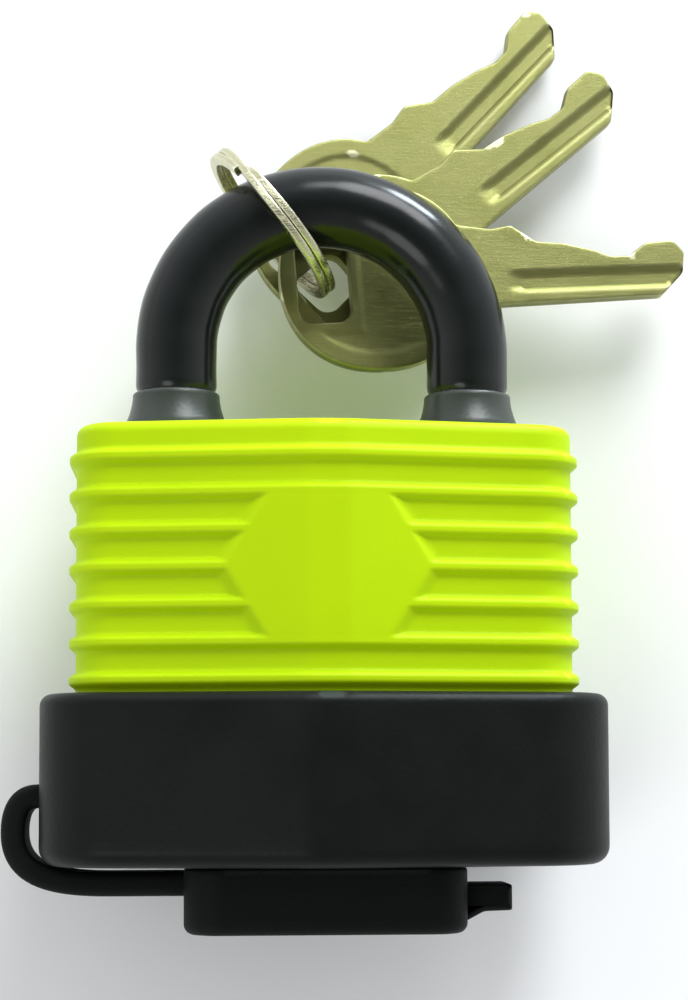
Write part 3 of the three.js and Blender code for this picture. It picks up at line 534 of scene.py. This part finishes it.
def cover_patches():
    """The ribbed wall with its lining, the top and the ceiling, and the walls of the two bores."""
    ribbed = np.arange(LOWEST_RIBBED_ROW, COVER_TOP - TOP_ROUND - 0.05, ROW_STEP)
    y = np.concatenate([[cover_low[1], PLAIN_LEVEL], ribbed])
    beads = bead_height(y)[:, None]
    on_face = (np.abs(plan_normals[:, 1]) > 0.8)[None]
    panel = panel_mask(plan[None, :, 0], y[:, None]) * on_face
    inset = RECESS - BEAD_HEIGHT * np.maximum(beads, panel)
    inner = RECESS + COVER_WALL
    ceiling = COVER_TOP - COVER_WALL
    stations = [(ceiling, inner), (PLAIN_LEVEL, inner), (cover_low[1], inner)]
    stations += list(zip(y, inset))
    stations += list(quarter(COVER_TOP - TOP_ROUND, RECESS, COVER_TOP, RECESS + TOP_ROUND, 8))
    holes = [circle(x, BORE_RADIUS) for x in (-LEG_X, LEG_X)]
    flares = [circle(x, BORE_RADIUS + BORE_FLARE) for x in (-LEG_X, LEG_X)]
    patches = [
        grid(plan_wall(stations), close_columns=True),
        level_face([plan_ring(RECESS + TOP_ROUND), *flares], COVER_TOP),
        level_face([plan_ring(inner), *holes], ceiling),
    ]
    for flare, hole in zip(flares, holes):
        rows = [(flare, COVER_TOP), (hole, COVER_TOP - BORE_FLARE), (hole, ceiling)]
        wall = np.stack([np.insert(loop, 1, level, axis=1) for loop, level in rows])
        patches.append(grid(wall, close_columns=True))
    return patches


make_piece("cover_shell", cover_patches(), lime_plastic, "body", ["cover"], sharp=50)

# %% [markdown]
# ## Shackle, sleeve and cuffs
#
# The shackle is one round bar. Its path is a straight leg, half a circle and a straight leg, and each
# point of its skin is the path plus a radius in the plane across it. Letting the radius change along
# the path gives the necks and the collar; letting it change round the bar as well cuts the two ball
# notches: where a ray from the axis meets the ball's sphere first, the skin stops there.

# %% Shackle steel
ARC_LEVEL = shackle_high[1] - STEEL_RADIUS - LEG_X
BALL_RADIUS = 3.2
BALL_LEVEL = lock_box("ball_heel")[0][1] + BALL_RADIUS
BALL_LOCKED = 11.45
NOTCH_RADIUS = BALL_RADIUS + 0.35
NECK_RADIUS = 3.3
NECK_FLANK = 0.65
COLLAR_BELOW_BALL = 16.65
END_BEVEL = 0.8
TOE_END = COVER_TOP - 14.55
ROD_SIDES = 56


def shackle_path(start, end, leg_step, arc_steps):
    """Centres and in-plane normals: up the heel leg from start, over, and down the toe leg to end."""
    up = np.arange(start, ARC_LEVEL, leg_step)
    down = np.arange(end, ARC_LEVEL, leg_step)[::-1]
    angle = np.linspace(0, math.pi, arc_steps)
    centre = np.vstack([
        np.stack([np.full(len(up), LEG_X), up], -1),
        np.stack([LEG_X * np.cos(angle), ARC_LEVEL + LEG_X * np.sin(angle)], -1),
        np.stack([np.full(len(down), -LEG_X), down], -1),
    ])
    turn = np.concatenate([np.zeros(len(up)), angle, np.full(len(down), math.pi)])
    return centre, np.stack([np.cos(turn), np.sin(turn)], -1)


def rod_skin(centre, normal, radius):
    """Points of a bar: centre + radius (normal cos a + z sin a); radius is one per row, or a grid."""
    around = np.arange(ROD_SIDES) / ROD_SIDES * 2 * math.pi
    radius = np.broadcast_to(np.atleast_2d(radius.T).T, (len(centre), ROD_SIDES))
    side = radius * np.cos(around)
    flat = centre[:, None] + normal[:, None] * side[..., None]
    return np.concatenate([flat, (radius * np.sin(around))[..., None]], -1)


def steel_radius(centre):
    """Full radius, eased down to the neck below each ball, with the heel's collar at its end."""
    x, y = centre[:, 0], centre[:, 1]
    collar_top = BALL_LEVEL - COLLAR_BELOW_BALL
    neck = 1 - ease((y - BALL_LEVEL) / NECK_FLANK)
    neck *= np.where(x > 0, ease((y - collar_top) / NECK_FLANK), 1)
    radius = STEEL_RADIUS - (STEEL_RADIUS - NECK_RADIUS) * neck
    lowest = np.where(x > 0, shackle_low[1], TOE_END)
    bevel = np.clip(END_BEVEL - (y - lowest), 0, END_BEVEL)
    return radius - bevel


def cut_notches(centre, normal, radius):
    """Where a ray from the axis meets a notch sphere before the skin, the skin moves in to it."""
    around = np.arange(ROD_SIDES) / ROD_SIDES * 2 * math.pi
    ray_x = normal[:, :1] * np.cos(around)[None]
    skin = np.repeat(radius[:, None], ROD_SIDES, 1)
    for ball_x in (-BALL_LOCKED, BALL_LOCKED):
        to_x, to_y = ball_x - centre[:, :1], BALL_LEVEL - centre[:, 1:2]
        beside = np.abs(to_x) < 2 * STEEL_RADIUS
        reach = ray_x * to_x
        inside = reach**2 - (to_x**2 + to_y**2 - NOTCH_RADIUS**2)
        first = reach - np.sqrt(np.maximum(inside, 0))
        hit = beside & (inside > 0) & (first > 0.3) & (first < skin)
        skin = np.where(hit, first, skin)
    return skin


def end_disc(ring):
    """A flat end: the ring drawn in to its middle."""
    middle = ring.mean(0, keepdims=True)
    return grid(np.stack([ring, middle + (ring - middle) * 0.5, np.repeat(middle, len(ring), 0)]),
                close_columns=True)


centre, normal = shackle_path(shackle_low[1], TOE_END, 0.3, 60)
steel = rod_skin(centre, normal, cut_notches(centre, normal, steel_radius(centre)))
make_piece("shackle_bar", [grid(steel, close_columns=True), end_disc(steel[0]), end_disc(steel[-1])],
           ground_steel, "shackle", ["shackle"])

# %% [markdown]
# The sleeve is a tube shrunk over the bar, so its skin goes out along the path and back inside it.
# Its ends turn over a little. Shrunk vinyl is never quite round, so its radius swells by a few
# hundredths of a millimetre along the crown; the long highlight then wavers as it does in life.
# The cuffs are turned profiles: a flared foot on the cover and a neck that grips the sleeve.

# %% Sleeve and cuffs
SLEEVE_WALL = 0.45
SLEEVE_STEP = 0.4
SLEEVE_SWELL = 0.02
centre, normal = shackle_path(sleeve_low[1], sleeve_low[1], SLEEVE_STEP, 120)
along = np.linspace(0, 1, len(centre))
from_end = np.minimum(np.arange(len(centre)), np.arange(len(centre))[::-1]) * SLEEVE_STEP
swelling = SLEEVE_SWELL * np.sin(along * 31) + 0.015 * np.sin(along * 83 + 1)
turned_over = 0.25 * (1 - ease(from_end / 0.6))
sleeve_radius = ROD_RADIUS + SLEEVE_SWELL + swelling * ease(from_end / 2) - turned_over
outer_skin = rod_skin(centre, normal, sleeve_radius)
inner_skin = rod_skin(centre, normal, np.full(len(centre), ROD_RADIUS - SLEEVE_WALL))
make_piece("sleeve", [grid(np.concatenate([outer_skin, inner_skin[::-1]]), True, True)],
           sleeve_vinyl, "shackle", ["shackle_sleeve"])


def turned_ring(profile, x, sides=72):
    """A closed (radius, y) profile turned about the line x, z = 0 that runs along y."""
    around = np.arange(sides) / sides * 2 * math.pi
    radius, y = profile[:, :1], profile[:, 1:]
    ring = np.broadcast_to(y, (len(profile), sides))
    return grid(np.stack([x + radius * np.cos(around), ring, radius * np.sin(around)], -1), True, True)


cuff_low, cuff_high = lock_box("cuff_heel")
foot_radius = (cuff_high[2] - cuff_low[2]) / 2
neck_radius = ROD_RADIUS + 0.35
bore = STEEL_RADIUS + 0.25
cuff_profile = np.vstack([
    [[bore, cuff_low[1]], [foot_radius - 0.2, cuff_low[1]], [foot_radius, cuff_low[1] + 0.2]],
    [[neck_radius + (foot_radius - neck_radius) * (1 - t) ** 1.8,
      cuff_low[1] + 0.8 + (cuff_high[1] - cuff_low[1] - 1.05) * t] for t in np.linspace(0, 1, 12)],
    [[neck_radius - 0.08, cuff_high[1] - 0.1], [neck_radius - 0.25, cuff_high[1]], [bore, cuff_high[1]]],
])
for side, x in (("heel", LEG_X), ("toe", -LEG_X)):
    make_piece(f"cuff_{side}_boot", [turned_ring(cuff_profile, x)], cuff_plastic, "shackle",
               [f"cuff_{side}"])

# %% [markdown]
# ## Dust cap and strap
#
# The cap is a soft plug: a block with round corners, a hollow spigot that presses into the bumper,
# and a pull tab on the right with a sloping web under it. The block is one profile carried round its
# plan, as the bumper is. The tab is a side view with a pillow edge: the outline shrinks by a quarter
# circle towards both faces, which rounds every edge at once.

# %% Dust cap
CAP_TOP = -0.3
CAP_CORNER = 4.0
CAP_ROUND = 1.1
CAP_DISH = 0.4
CAP_DISH_INSET = 3.2
SPIGOT = (20.6, 12.6, 2.3)
SPIGOT_WALL = 1.6
TAB_HALF_WIDTH = 4.0
TAB_ROUND = 0.6
cap_low, cap_high = lock_box("dust_cap")
CAP_HALF = -cap_low[0]
CAP_DEPTH = cap_high[2] - cap_low[2]
CAP_BOTTOM = cap_low[1]
TAB_END = cap_high[0]
SPIGOT_TOP = cap_high[1]


def ring_rows(loop, normals, stations):
    """A wall from (y, inset) stations round any plan."""
    stations = np.asarray(stations)
    rings = loop[None] - normals[None] * stations[:, 1, None, None]
    height = np.broadcast_to(stations[:, 0, None], rings.shape[:2])
    return np.stack([rings[..., 0], height, rings[..., 1]], -1)


def cap_patches():
    """The block with its dished bottom, and the hollow spigot with the floor inside it."""
    loop = rounded_box(2 * CAP_HALF, CAP_DEPTH, CAP_CORNER, 200)
    normals = loop_normals(loop)
    profile = np.vstack([
        [[CAP_TOP, 0.9]],
        quarter(CAP_TOP, 0.35, CAP_TOP - 0.35, 0, 4, bulge_first=False),
        [[y, 0.0] for y in np.linspace(CAP_TOP - 0.8, CAP_BOTTOM + 1.6, 6)],
        quarter(CAP_BOTTOM + CAP_ROUND, 0, CAP_BOTTOM, CAP_ROUND, 7),
        [[CAP_BOTTOM, 2.2], [CAP_BOTTOM + 0.35, 2.6], [CAP_BOTTOM + CAP_DISH, CAP_DISH_INSET]],
    ])
    spigot = rounded_box(*SPIGOT, 200)
    spigot_normals = loop_normals(spigot)
    spigot_rows = np.vstack([
        [[CAP_TOP, 0.0], [SPIGOT_TOP - 0.5, 0.0]],
        quarter(SPIGOT_TOP - 0.5, 0, SPIGOT_TOP, 0.5, 5),
        [[SPIGOT_TOP, SPIGOT_WALL - 0.2], [CAP_BOTTOM + 2, SPIGOT_WALL]],
    ])
    return [
        grid(ring_rows(loop, normals, profile), close_columns=True),
        level_face([loop - normals * 0.9, spigot], CAP_TOP),
        level_face([loop - normals * CAP_DISH_INSET], CAP_BOTTOM + CAP_DISH),
        grid(ring_rows(spigot, spigot_normals, spigot_rows), close_columns=True),
        level_face([spigot - spigot_normals * SPIGOT_WALL], CAP_BOTTOM + 2),
    ]


def pillow(outline, z0, z1, edge, steps=6):
    """An outline in x and y carried from z0 to z1, moved in by a quarter circle at both faces."""
    normals = loop_normals(outline)
    angle = np.linspace(0, math.pi / 2, steps)
    inset = edge * (1 - np.sin(angle))
    depth = edge * (1 - np.cos(angle))
    insets = np.concatenate([inset, inset[::-1]])
    levels = np.concatenate([z0 + depth, z1 - depth[::-1]])
    rings = outline[None] - normals[None] * insets[:, None, None]
    wall = np.concatenate([rings, np.broadcast_to(levels[:, None, None], (*rings.shape[:2], 1))], -1)
    ends = []
    for ring in (wall[0], wall[-1]):
        faces = tessellate_polygon([[Vector((x, y, 0)) for x, y, _ in ring]])
        ends.append((ring, [list(face) for face in faces]))
    return [grid(wall, close_columns=True), *ends]


tab_corners = np.array([
    [CAP_HALF - 2.0, -6.9], [CAP_HALF - 1.2, -7.0], [CAP_HALF + 2.1, -5.25], [TAB_END, -5.15],
    [TAB_END, -2.3], [CAP_HALF - 2.0, -2.3],
])
make_piece("dust_cap_body", cap_patches(), cap_rubber, "dust_cap", ["dust_cap"])
tab = pillow(even_loop(tab_corners, 120, 0.18), -TAB_HALF_WIDTH, TAB_HALF_WIDTH, TAB_ROUND)
make_piece("dust_cap_tab", tab, cap_rubber, "dust_cap")

# %% [markdown]
# The strap ties the cap to the bumper. It is a band swept along the line that it takes at rest,
# moulded into the bumper at one end and the cap at the other. It is attached to neither body, so it
# keeps this shape when the cap swings.

# %% Cap strap
STRAP_HALF_WIDTH = 4.0
STRAP_HALF_THICK = 1.3
STRAP_LEVEL = -2.1
STRAP_ANCHOR = 7.5
STRAP_REACH = 3.0


def bezier(a, b, c, d, count):
    """A cubic through a and d that leaves towards b and arrives from c."""
    t = np.linspace(0, 1, count)[:, None]
    points = [np.array(p, float) for p in (a, b, c, d)]
    weights = [(1 - t) ** 3, 3 * t * (1 - t) ** 2, 3 * t * t * (1 - t), t**3]
    return sum(weight * point for weight, point in zip(weights, points))


end = -BODY_WIDTH / 2
outer = end - STRAP_REACH
strap_line = np.vstack([
    [[end + 0.9, STRAP_ANCHOR], [end + 0.2, STRAP_ANCHOR]],
    bezier((end - 0.4, STRAP_ANCHOR), (end - 2.2, STRAP_ANCHOR), (outer, STRAP_ANCHOR - 1.6),
           (outer, 3.6), 18),
    bezier((outer, 3.6), (outer, -1), (outer + 4, STRAP_LEVEL), (outer + 10.5, STRAP_LEVEL), 26)[1:],
    np.stack([np.linspace(outer + 11, -CAP_HALF + 0.6, 12), np.full(12, STRAP_LEVEL)], -1),
])
heading = np.gradient(strap_line, axis=0)
heading /= np.linalg.norm(heading, axis=1, keepdims=True)
strap_side = np.stack([-heading[:, 1], heading[:, 0]], -1)
section = rounded_box(2 * STRAP_HALF_THICK, 2 * STRAP_HALF_WIDTH, 0.75, 48)
band = strap_line[:, None] + strap_side[:, None] * section[None, :, :1]
depth = np.broadcast_to(section[None, :, 1:], (len(strap_line), len(section), 1))
band = np.concatenate([band, depth], -1)
strap = make_piece("strap_band", [grid(band, close_columns=True), end_disc(band[0]), end_disc(band[-1])],
                   cap_rubber, None, ["cap_strap"])
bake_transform(strap)

# %% [markdown]
# ## Split ring
#
# A split ring is two turns of one flat wire, with a short cranked step where the wire crosses from
# one turn to the other. The step is an eased ramp in the ring's own thickness, so the wire's path is
# a circle whose side offset is a function of the angle, and the section is a soft rectangle.

# %% Key ring
RING_INNER = ROD_RADIUS + 4.35
RING_WALL = 1.5
RING_WIDTH = 1.9
RING_SLACK = 0.13
RING_ALONG = math.radians(19.5)
RING_TURN = math.radians(-50)
RING_BELOW_ROD = 0.3
WIRE_START = 2.2
WIRE_END_GAP = 0.12
ring_across = np.array([math.cos(RING_TURN), math.sin(RING_TURN), 0])
ring_up = np.array([0.0, 0.0, 1.0])
ring_normal = np.cross(ring_up, ring_across)
ring_centre = np.array([-LEG_X * math.sin(RING_ALONG), ARC_LEVEL + LEG_X * math.cos(RING_ALONG),
                        -(RING_INNER - ROD_RADIUS - RING_BELOW_ROD)])


def ring_wire(turns=2, steps=150):
    """The wire: angle runs through two turns; its offset eases from one side to the other."""
    angle = np.linspace(0.0, turns * 2 * math.pi - WIRE_END_GAP, turns * steps) + WIRE_START
    progress = np.linspace(0, turns, turns * steps)
    offset = RING_WIDTH / 4 * (2 * ease((progress - 0.9) / 0.2) - 1)
    wire = rounded_box(RING_WALL - 2 * RING_SLACK, RING_WIDTH / 2 - 0.05, 0.22, 28)
    radius = RING_INNER + RING_WALL / 2 + wire[None, :, 0]
    side = offset[:, None] + wire[None, :, 1]
    out = np.cos(angle)[:, None] * ring_across + np.sin(angle)[:, None] * ring_up
    return ring_centre + radius[..., None] * out[:, None] + side[..., None] * ring_normal


wire = ring_wire()
make_piece("split_ring", [grid(wire, close_columns=True), end_disc(wire[0]), end_disc(wire[-1])],
           ring_steel, "key_ring", ["key_ring"])

# %% [markdown]
# ## Keys
#
# A key is stamped from sheet, milled with a groove along each side and cut to its code. The outline
# is a superellipse bow and a straight-backed blade. The faces are a height function over that
# outline: full thickness less a rounded edge, the milled groove with its scooped run-out, and a
# shallow sunken field in the bow. A triangulation of the outline, a hole and a grid of inner points
# carries the height, and the lower face is its mirror image.

# %% Key outline
KEY_LENGTH = 43.7
KEY_THICKNESS = 1.75
KEY_EDGE_ROUND = 0.2
BLADE_BACK = -3.5
BOW_CENTRE, BOW_ALONG, BOW_ACROSS, BOW_POWER = 6.3, 11.4, 11.1, 2.2
BOW_START, BOW_END = 30, 341
HOLE_ALONG, HOLE_ACROSS, HOLE_CORNER = 6.2, 10.6, 1.8
GROOVE_LOW, GROOVE_HIGH, GROOVE_DEPTH, GROOVE_START = 1.3, 3.3, 0.42, 21.5
FIELD_DEPTH = 0.13

# Each key's direction in degrees, and where the wire leaves the middle of its hole, along and across
KEY_PLACES = {"key_1": (47.4, 1.27, 0.6), "key_2": (40.0, 0.89, -2.92), "key_3": (4.2, 0.0, 1.18)}


def key_outline():
    """Bow: |x/a|^n + |y/b|^n = 1 from the upper to the lower shoulder; then the blade's corners."""
    angle = np.radians(np.linspace(BOW_START, BOW_END, 90))
    power = 2 / BOW_POWER
    bow = np.stack([
        BOW_CENTRE + BOW_ALONG * np.sign(np.cos(angle)) * np.abs(np.cos(angle)) ** power,
        BOW_ACROSS * np.sign(np.sin(angle)) * np.abs(np.sin(angle)) ** power,
    ], -1)
    from_tip = np.array([
        [3.2, 0], [0.4, 2.7], [0, 5.2], [1.2, 6.7], [4.7, 6.5], [6.8, 5.0], [8.9, 5.0], [10.9, 5.8],
        [14.7, 6.8], [18, 7.1], [20.9, 9.2], [23.4, 8.8],
    ])
    blade = np.stack([KEY_LENGTH - from_tip[:, 0], BLADE_BACK + from_tip[:, 1]], -1)
    return even_loop(np.vstack([bow, blade]), 420, soften=0.22)


def distance_to(points, loop):
    """The shortest distance from each point to a closed outline's segments."""
    start, step = loop, np.roll(loop, -1, 0) - loop
    offset = points[:, None] - start[None]
    t = np.clip((offset * step).sum(-1) / (step**2).sum(-1), 0, 1)
    return np.linalg.norm(offset - t[..., None] * step, axis=-1).min(1)


def inside(points, loop):
    """True where a ray along +x crosses the outline an odd number of times."""
    a, b = loop, np.roll(loop, -1, 0)
    spans = (a[None, :, 1] > points[:, 1:]) != (b[None, :, 1] > points[:, 1:])
    with np.errstate(divide="ignore", invalid="ignore"):
        cross = a[:, 0] + (points[:, 1:] - a[:, 1]) / (b[:, 1] - a[:, 1]) * (b[:, 0] - a[:, 0])
    return (spans & (points[:, :1] < cross)).sum(1) % 2 == 1


# %% Key face


def key_height(points, edge):
    """Half the thickness less the rounded edge, the groove and the sunken field of the bow."""
    inward = np.clip(KEY_EDGE_ROUND - edge, 0, KEY_EDGE_ROUND)
    height = KEY_THICKNESS / 2 - (KEY_EDGE_ROUND - np.sqrt(KEY_EDGE_ROUND**2 - inward**2))
    above_back = points[:, 1] - BLADE_BACK
    flank = np.minimum(above_back - GROOVE_LOW, GROOVE_HIGH - above_back)
    run_out = ease((points[:, 0] - GROOVE_START) / 2.5)
    height -= GROOVE_DEPTH * ease(flank / 0.35 + 0.5) * run_out
    bow = (np.abs((points[:, 0] - BOW_CENTRE) / BOW_ALONG) ** BOW_POWER
           + np.abs(points[:, 1] / BOW_ACROSS) ** BOW_POWER) ** (1 / BOW_POWER)
    hole_rim = np.maximum(np.abs(points[:, 0]) - HOLE_ALONG / 2, np.abs(points[:, 1]) - HOLE_ACROSS / 2)
    field = ease((0.84 - bow) / 0.05) * ease((hole_rim - 0.9) / 0.5)
    return height - FIELD_DEPTH * field


def key_face():
    """The outline, the hole and inner points, triangulated; returns points, triangles and edges."""
    outline = key_outline()
    hole = rounded_box(HOLE_ALONG, HOLE_ACROSS, HOLE_CORNER, 90)
    shrink = [(outline - loop_normals(outline) * inset, hole + loop_normals(hole) * inset)
              for inset in (0.05, 0.12, KEY_EDGE_ROUND)]
    spacing = 0.34
    x = np.arange(outline[:, 0].min(), outline[:, 0].max(), spacing)
    y = np.arange(-BOW_ACROSS, BOW_ACROSS, spacing)
    lattice = np.stack(np.meshgrid(x, y), -1).reshape(-1, 2)
    keep = inside(lattice, outline) & ~inside(lattice, hole)
    lattice = lattice[keep]
    clear = np.minimum(distance_to(lattice, outline), distance_to(lattice, hole))
    lattice = lattice[clear > 0.3]
    rings = [outline, hole] + [ring for pair in shrink for ring in pair]
    points = np.vstack([*rings, lattice])
    edges, first = [], 0
    for ring in rings:
        count = len(ring)
        edges += [(first + k, first + (k + 1) % count) for k in range(count)]
        first += count
    made = delaunay_2d_cdt([Vector(p) for p in points], edges, [], 0, 1e-6)
    flat = np.array([tuple(v) for v in made[0]])
    faces = np.array(made[2])
    middle = flat[faces].mean(1)
    kept = faces[inside(middle, outline) & ~inside(middle, hole)]
    return flat, kept, outline, hole


flat, key_faces, outline, hole = key_face()
edge = np.minimum(distance_to(flat, outline), distance_to(flat, hole))
key_top = key_height(flat, edge)
print(len(key_faces), "triangles on each face of a key")

# %% [markdown]
# The two faces share their outline with a straight wall between them. Each key then turns into its
# place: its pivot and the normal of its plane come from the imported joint, and its direction says how
# far round the ring it has swung.

# %% Place the keys


def key_patches(joint, degrees, along, across):
    """Both faces and the walls, turned so that the key lies across its pivot's axis."""
    axis = np.array(joint["axis"], float)
    axis /= np.linalg.norm(axis)
    pivot = np.array(joint["pos_m"]) / MM - LOCK_ORIGIN
    forward = np.array([math.cos(math.radians(degrees)), math.sin(math.radians(degrees)), 0])
    forward -= axis * forward.dot(axis)
    forward /= np.linalg.norm(forward)
    basis = np.stack([forward, np.cross(axis, forward), axis])
    middle = pivot + np.array([along, across, 0]) @ basis

    def place(plan_points, height):
        return middle + np.column_stack([plan_points, height]) @ basis

    triangles = key_faces.tolist()
    patches = [(place(flat, key_top), triangles), (place(flat, -key_top), triangles)]
    rim = KEY_THICKNESS / 2 - KEY_EDGE_ROUND
    for loop in (outline, hole):
        rows = [place(loop, np.full(len(loop), level)) for level in (rim, 0.0, -rim)]
        patches.append(grid(np.stack(rows), close_columns=True))
    return patches


for name, lie in KEY_PLACES.items():
    make_piece(f"{name}_blank", key_patches(joint_named(f"{name}_swing"), *lie), key_metal, name,
               [name], sharp=40)

# %% [markdown]
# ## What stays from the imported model
#
# The works inside are already the right shape: plates, rivets, cylinder, pins, springs, cam and
# balls. They only need their metals. Most are hidden until the cap swings away or the shackle lifts.

# %% Inner metals
INNER_FINISHES = {
    "zinc_plated_steel": zinc_steel,
    "hardened_steel": ground_steel,
    "brass": turned_brass,
}
for row in frame["record"]["subparts"]:
    chosen = INNER_FINISHES.get(row["material_slot"])
    node = frame["nodes"][row["node"]]
    if chosen and not node.hide_render:
        node.data.materials.clear()
        node.data.materials.append(chosen)
print("inner metals:", list(INNER_FINISHES))

# %% [markdown]
# ## Studio
#
# A pale floor, a soft sky that is dim overhead and brighter towards the horizon, and three soft lamps.
# One past the shackle lights the upper flank of every bead, a low one draws the highlight along the
# crown, and a weak one fills the bumper. The camera looks almost straight down on the lock.

# %% Floor and light
floor_mesh = bpy.data.meshes.new("studio_floor")
FLOOR_REACH = 30.0
FLOOR_LEVEL = -2e-4
corners = np.array([(-1, -1), (1, -1), (1, 1), (-1, 1)]) * FLOOR_REACH
floor_mesh.from_pydata([(x, y, FLOOR_LEVEL) for x, y in corners.tolist()], [], [(0, 1, 2, 3)])
floor = bpy.data.objects.new("studio_floor", floor_mesh)
bpy.context.collection.objects.link(floor)
floor_paint = bpy.data.materials.new("floor_paint")
floor_paint.use_nodes = True
paint = floor_paint.node_tree.nodes["Principled BSDF"]
paint.inputs["Base Color"].default_value = (0.96, 0.96, 0.96, 1)
paint.inputs["Roughness"].default_value = 0.9
floor_mesh.materials.append(floor_paint)


def area_lamp(name, place, aim, size, watts, colour=(1, 1, 1)):
    light = bpy.data.lights.new(name, "AREA")
    light.shape, light.size, light.energy, light.color = "DISK", size, watts, colour
    lamp = bpy.data.objects.new(name, light)
    lamp.location = place
    lamp.rotation_euler = (Vector(aim) - Vector(place)).to_track_quat("-Z", "Y").to_euler()
    bpy.context.collection.objects.link(lamp)
    return lamp


area_lamp("crown_lamp", (0.16, 0.50, 0.34), (0, 0.02, 0.02), 0.30, 2.6, (0.95, 0.98, 1.0))
area_lamp("rim_lamp", (0.40, 0.80, 0.10), (0, 0.06, 0.01), 0.22, 5.5, (0.80, 0.92, 1.0))
area_lamp("bumper_lamp", (-0.30, -0.25, 0.60), (0, 0.0, 0.02), 0.35, 0.9)
world = bpy.data.worlds.new("studio_sky")
world.use_nodes = True
sky = world.node_tree
direction = add_node(sky, "ShaderNodeSeparateXYZ",
                     {0: add_node(sky, "ShaderNodeTexCoord").outputs["Generated"]})
height = maths(sky, "MAXIMUM", direction.outputs[2], 0.0)
level = maths(sky, "MULTIPLY", maths(sky, "POWER", maths(sky, "SUBTRACT", 1.0, height), 0.7), 1.15)
towards_crown = maths(sky, "MULTIPLY", direction.outputs[1], 0.25)
brightness = maths(sky, "ADD", maths(sky, "ADD", level, 0.10), towards_crown)
background = sky.nodes["Background"]
background.inputs["Color"].default_value = (0.97, 0.98, 1.0, 1)
sky.links.new(maths(sky, "MAXIMUM", brightness, 0.05), background.inputs["Strength"])
bpy.context.scene.world = world
bpy.context.scene.view_settings.view_transform = "Standard"
print(len(bpy.data.lights), "lamps")

# %% Camera
camera_data = bpy.data.cameras.new("camera")
camera_data.sensor_width = 36
camera_data.lens = 79.3692
camera_data.shift_y = 0.12
camera_data.clip_start = 0.01
camera = bpy.data.objects.new("camera", camera_data)
camera.location = (-0.01244, 0.00027, 0.26359)
camera.rotation_euler = Euler([math.radians(a) for a in (4.078, -3.438, -0.178)], "XYZ")
bpy.context.collection.objects.link(camera)
bpy.context.scene.camera = camera
print("camera", tuple(round(value, 4) for value in camera.location))
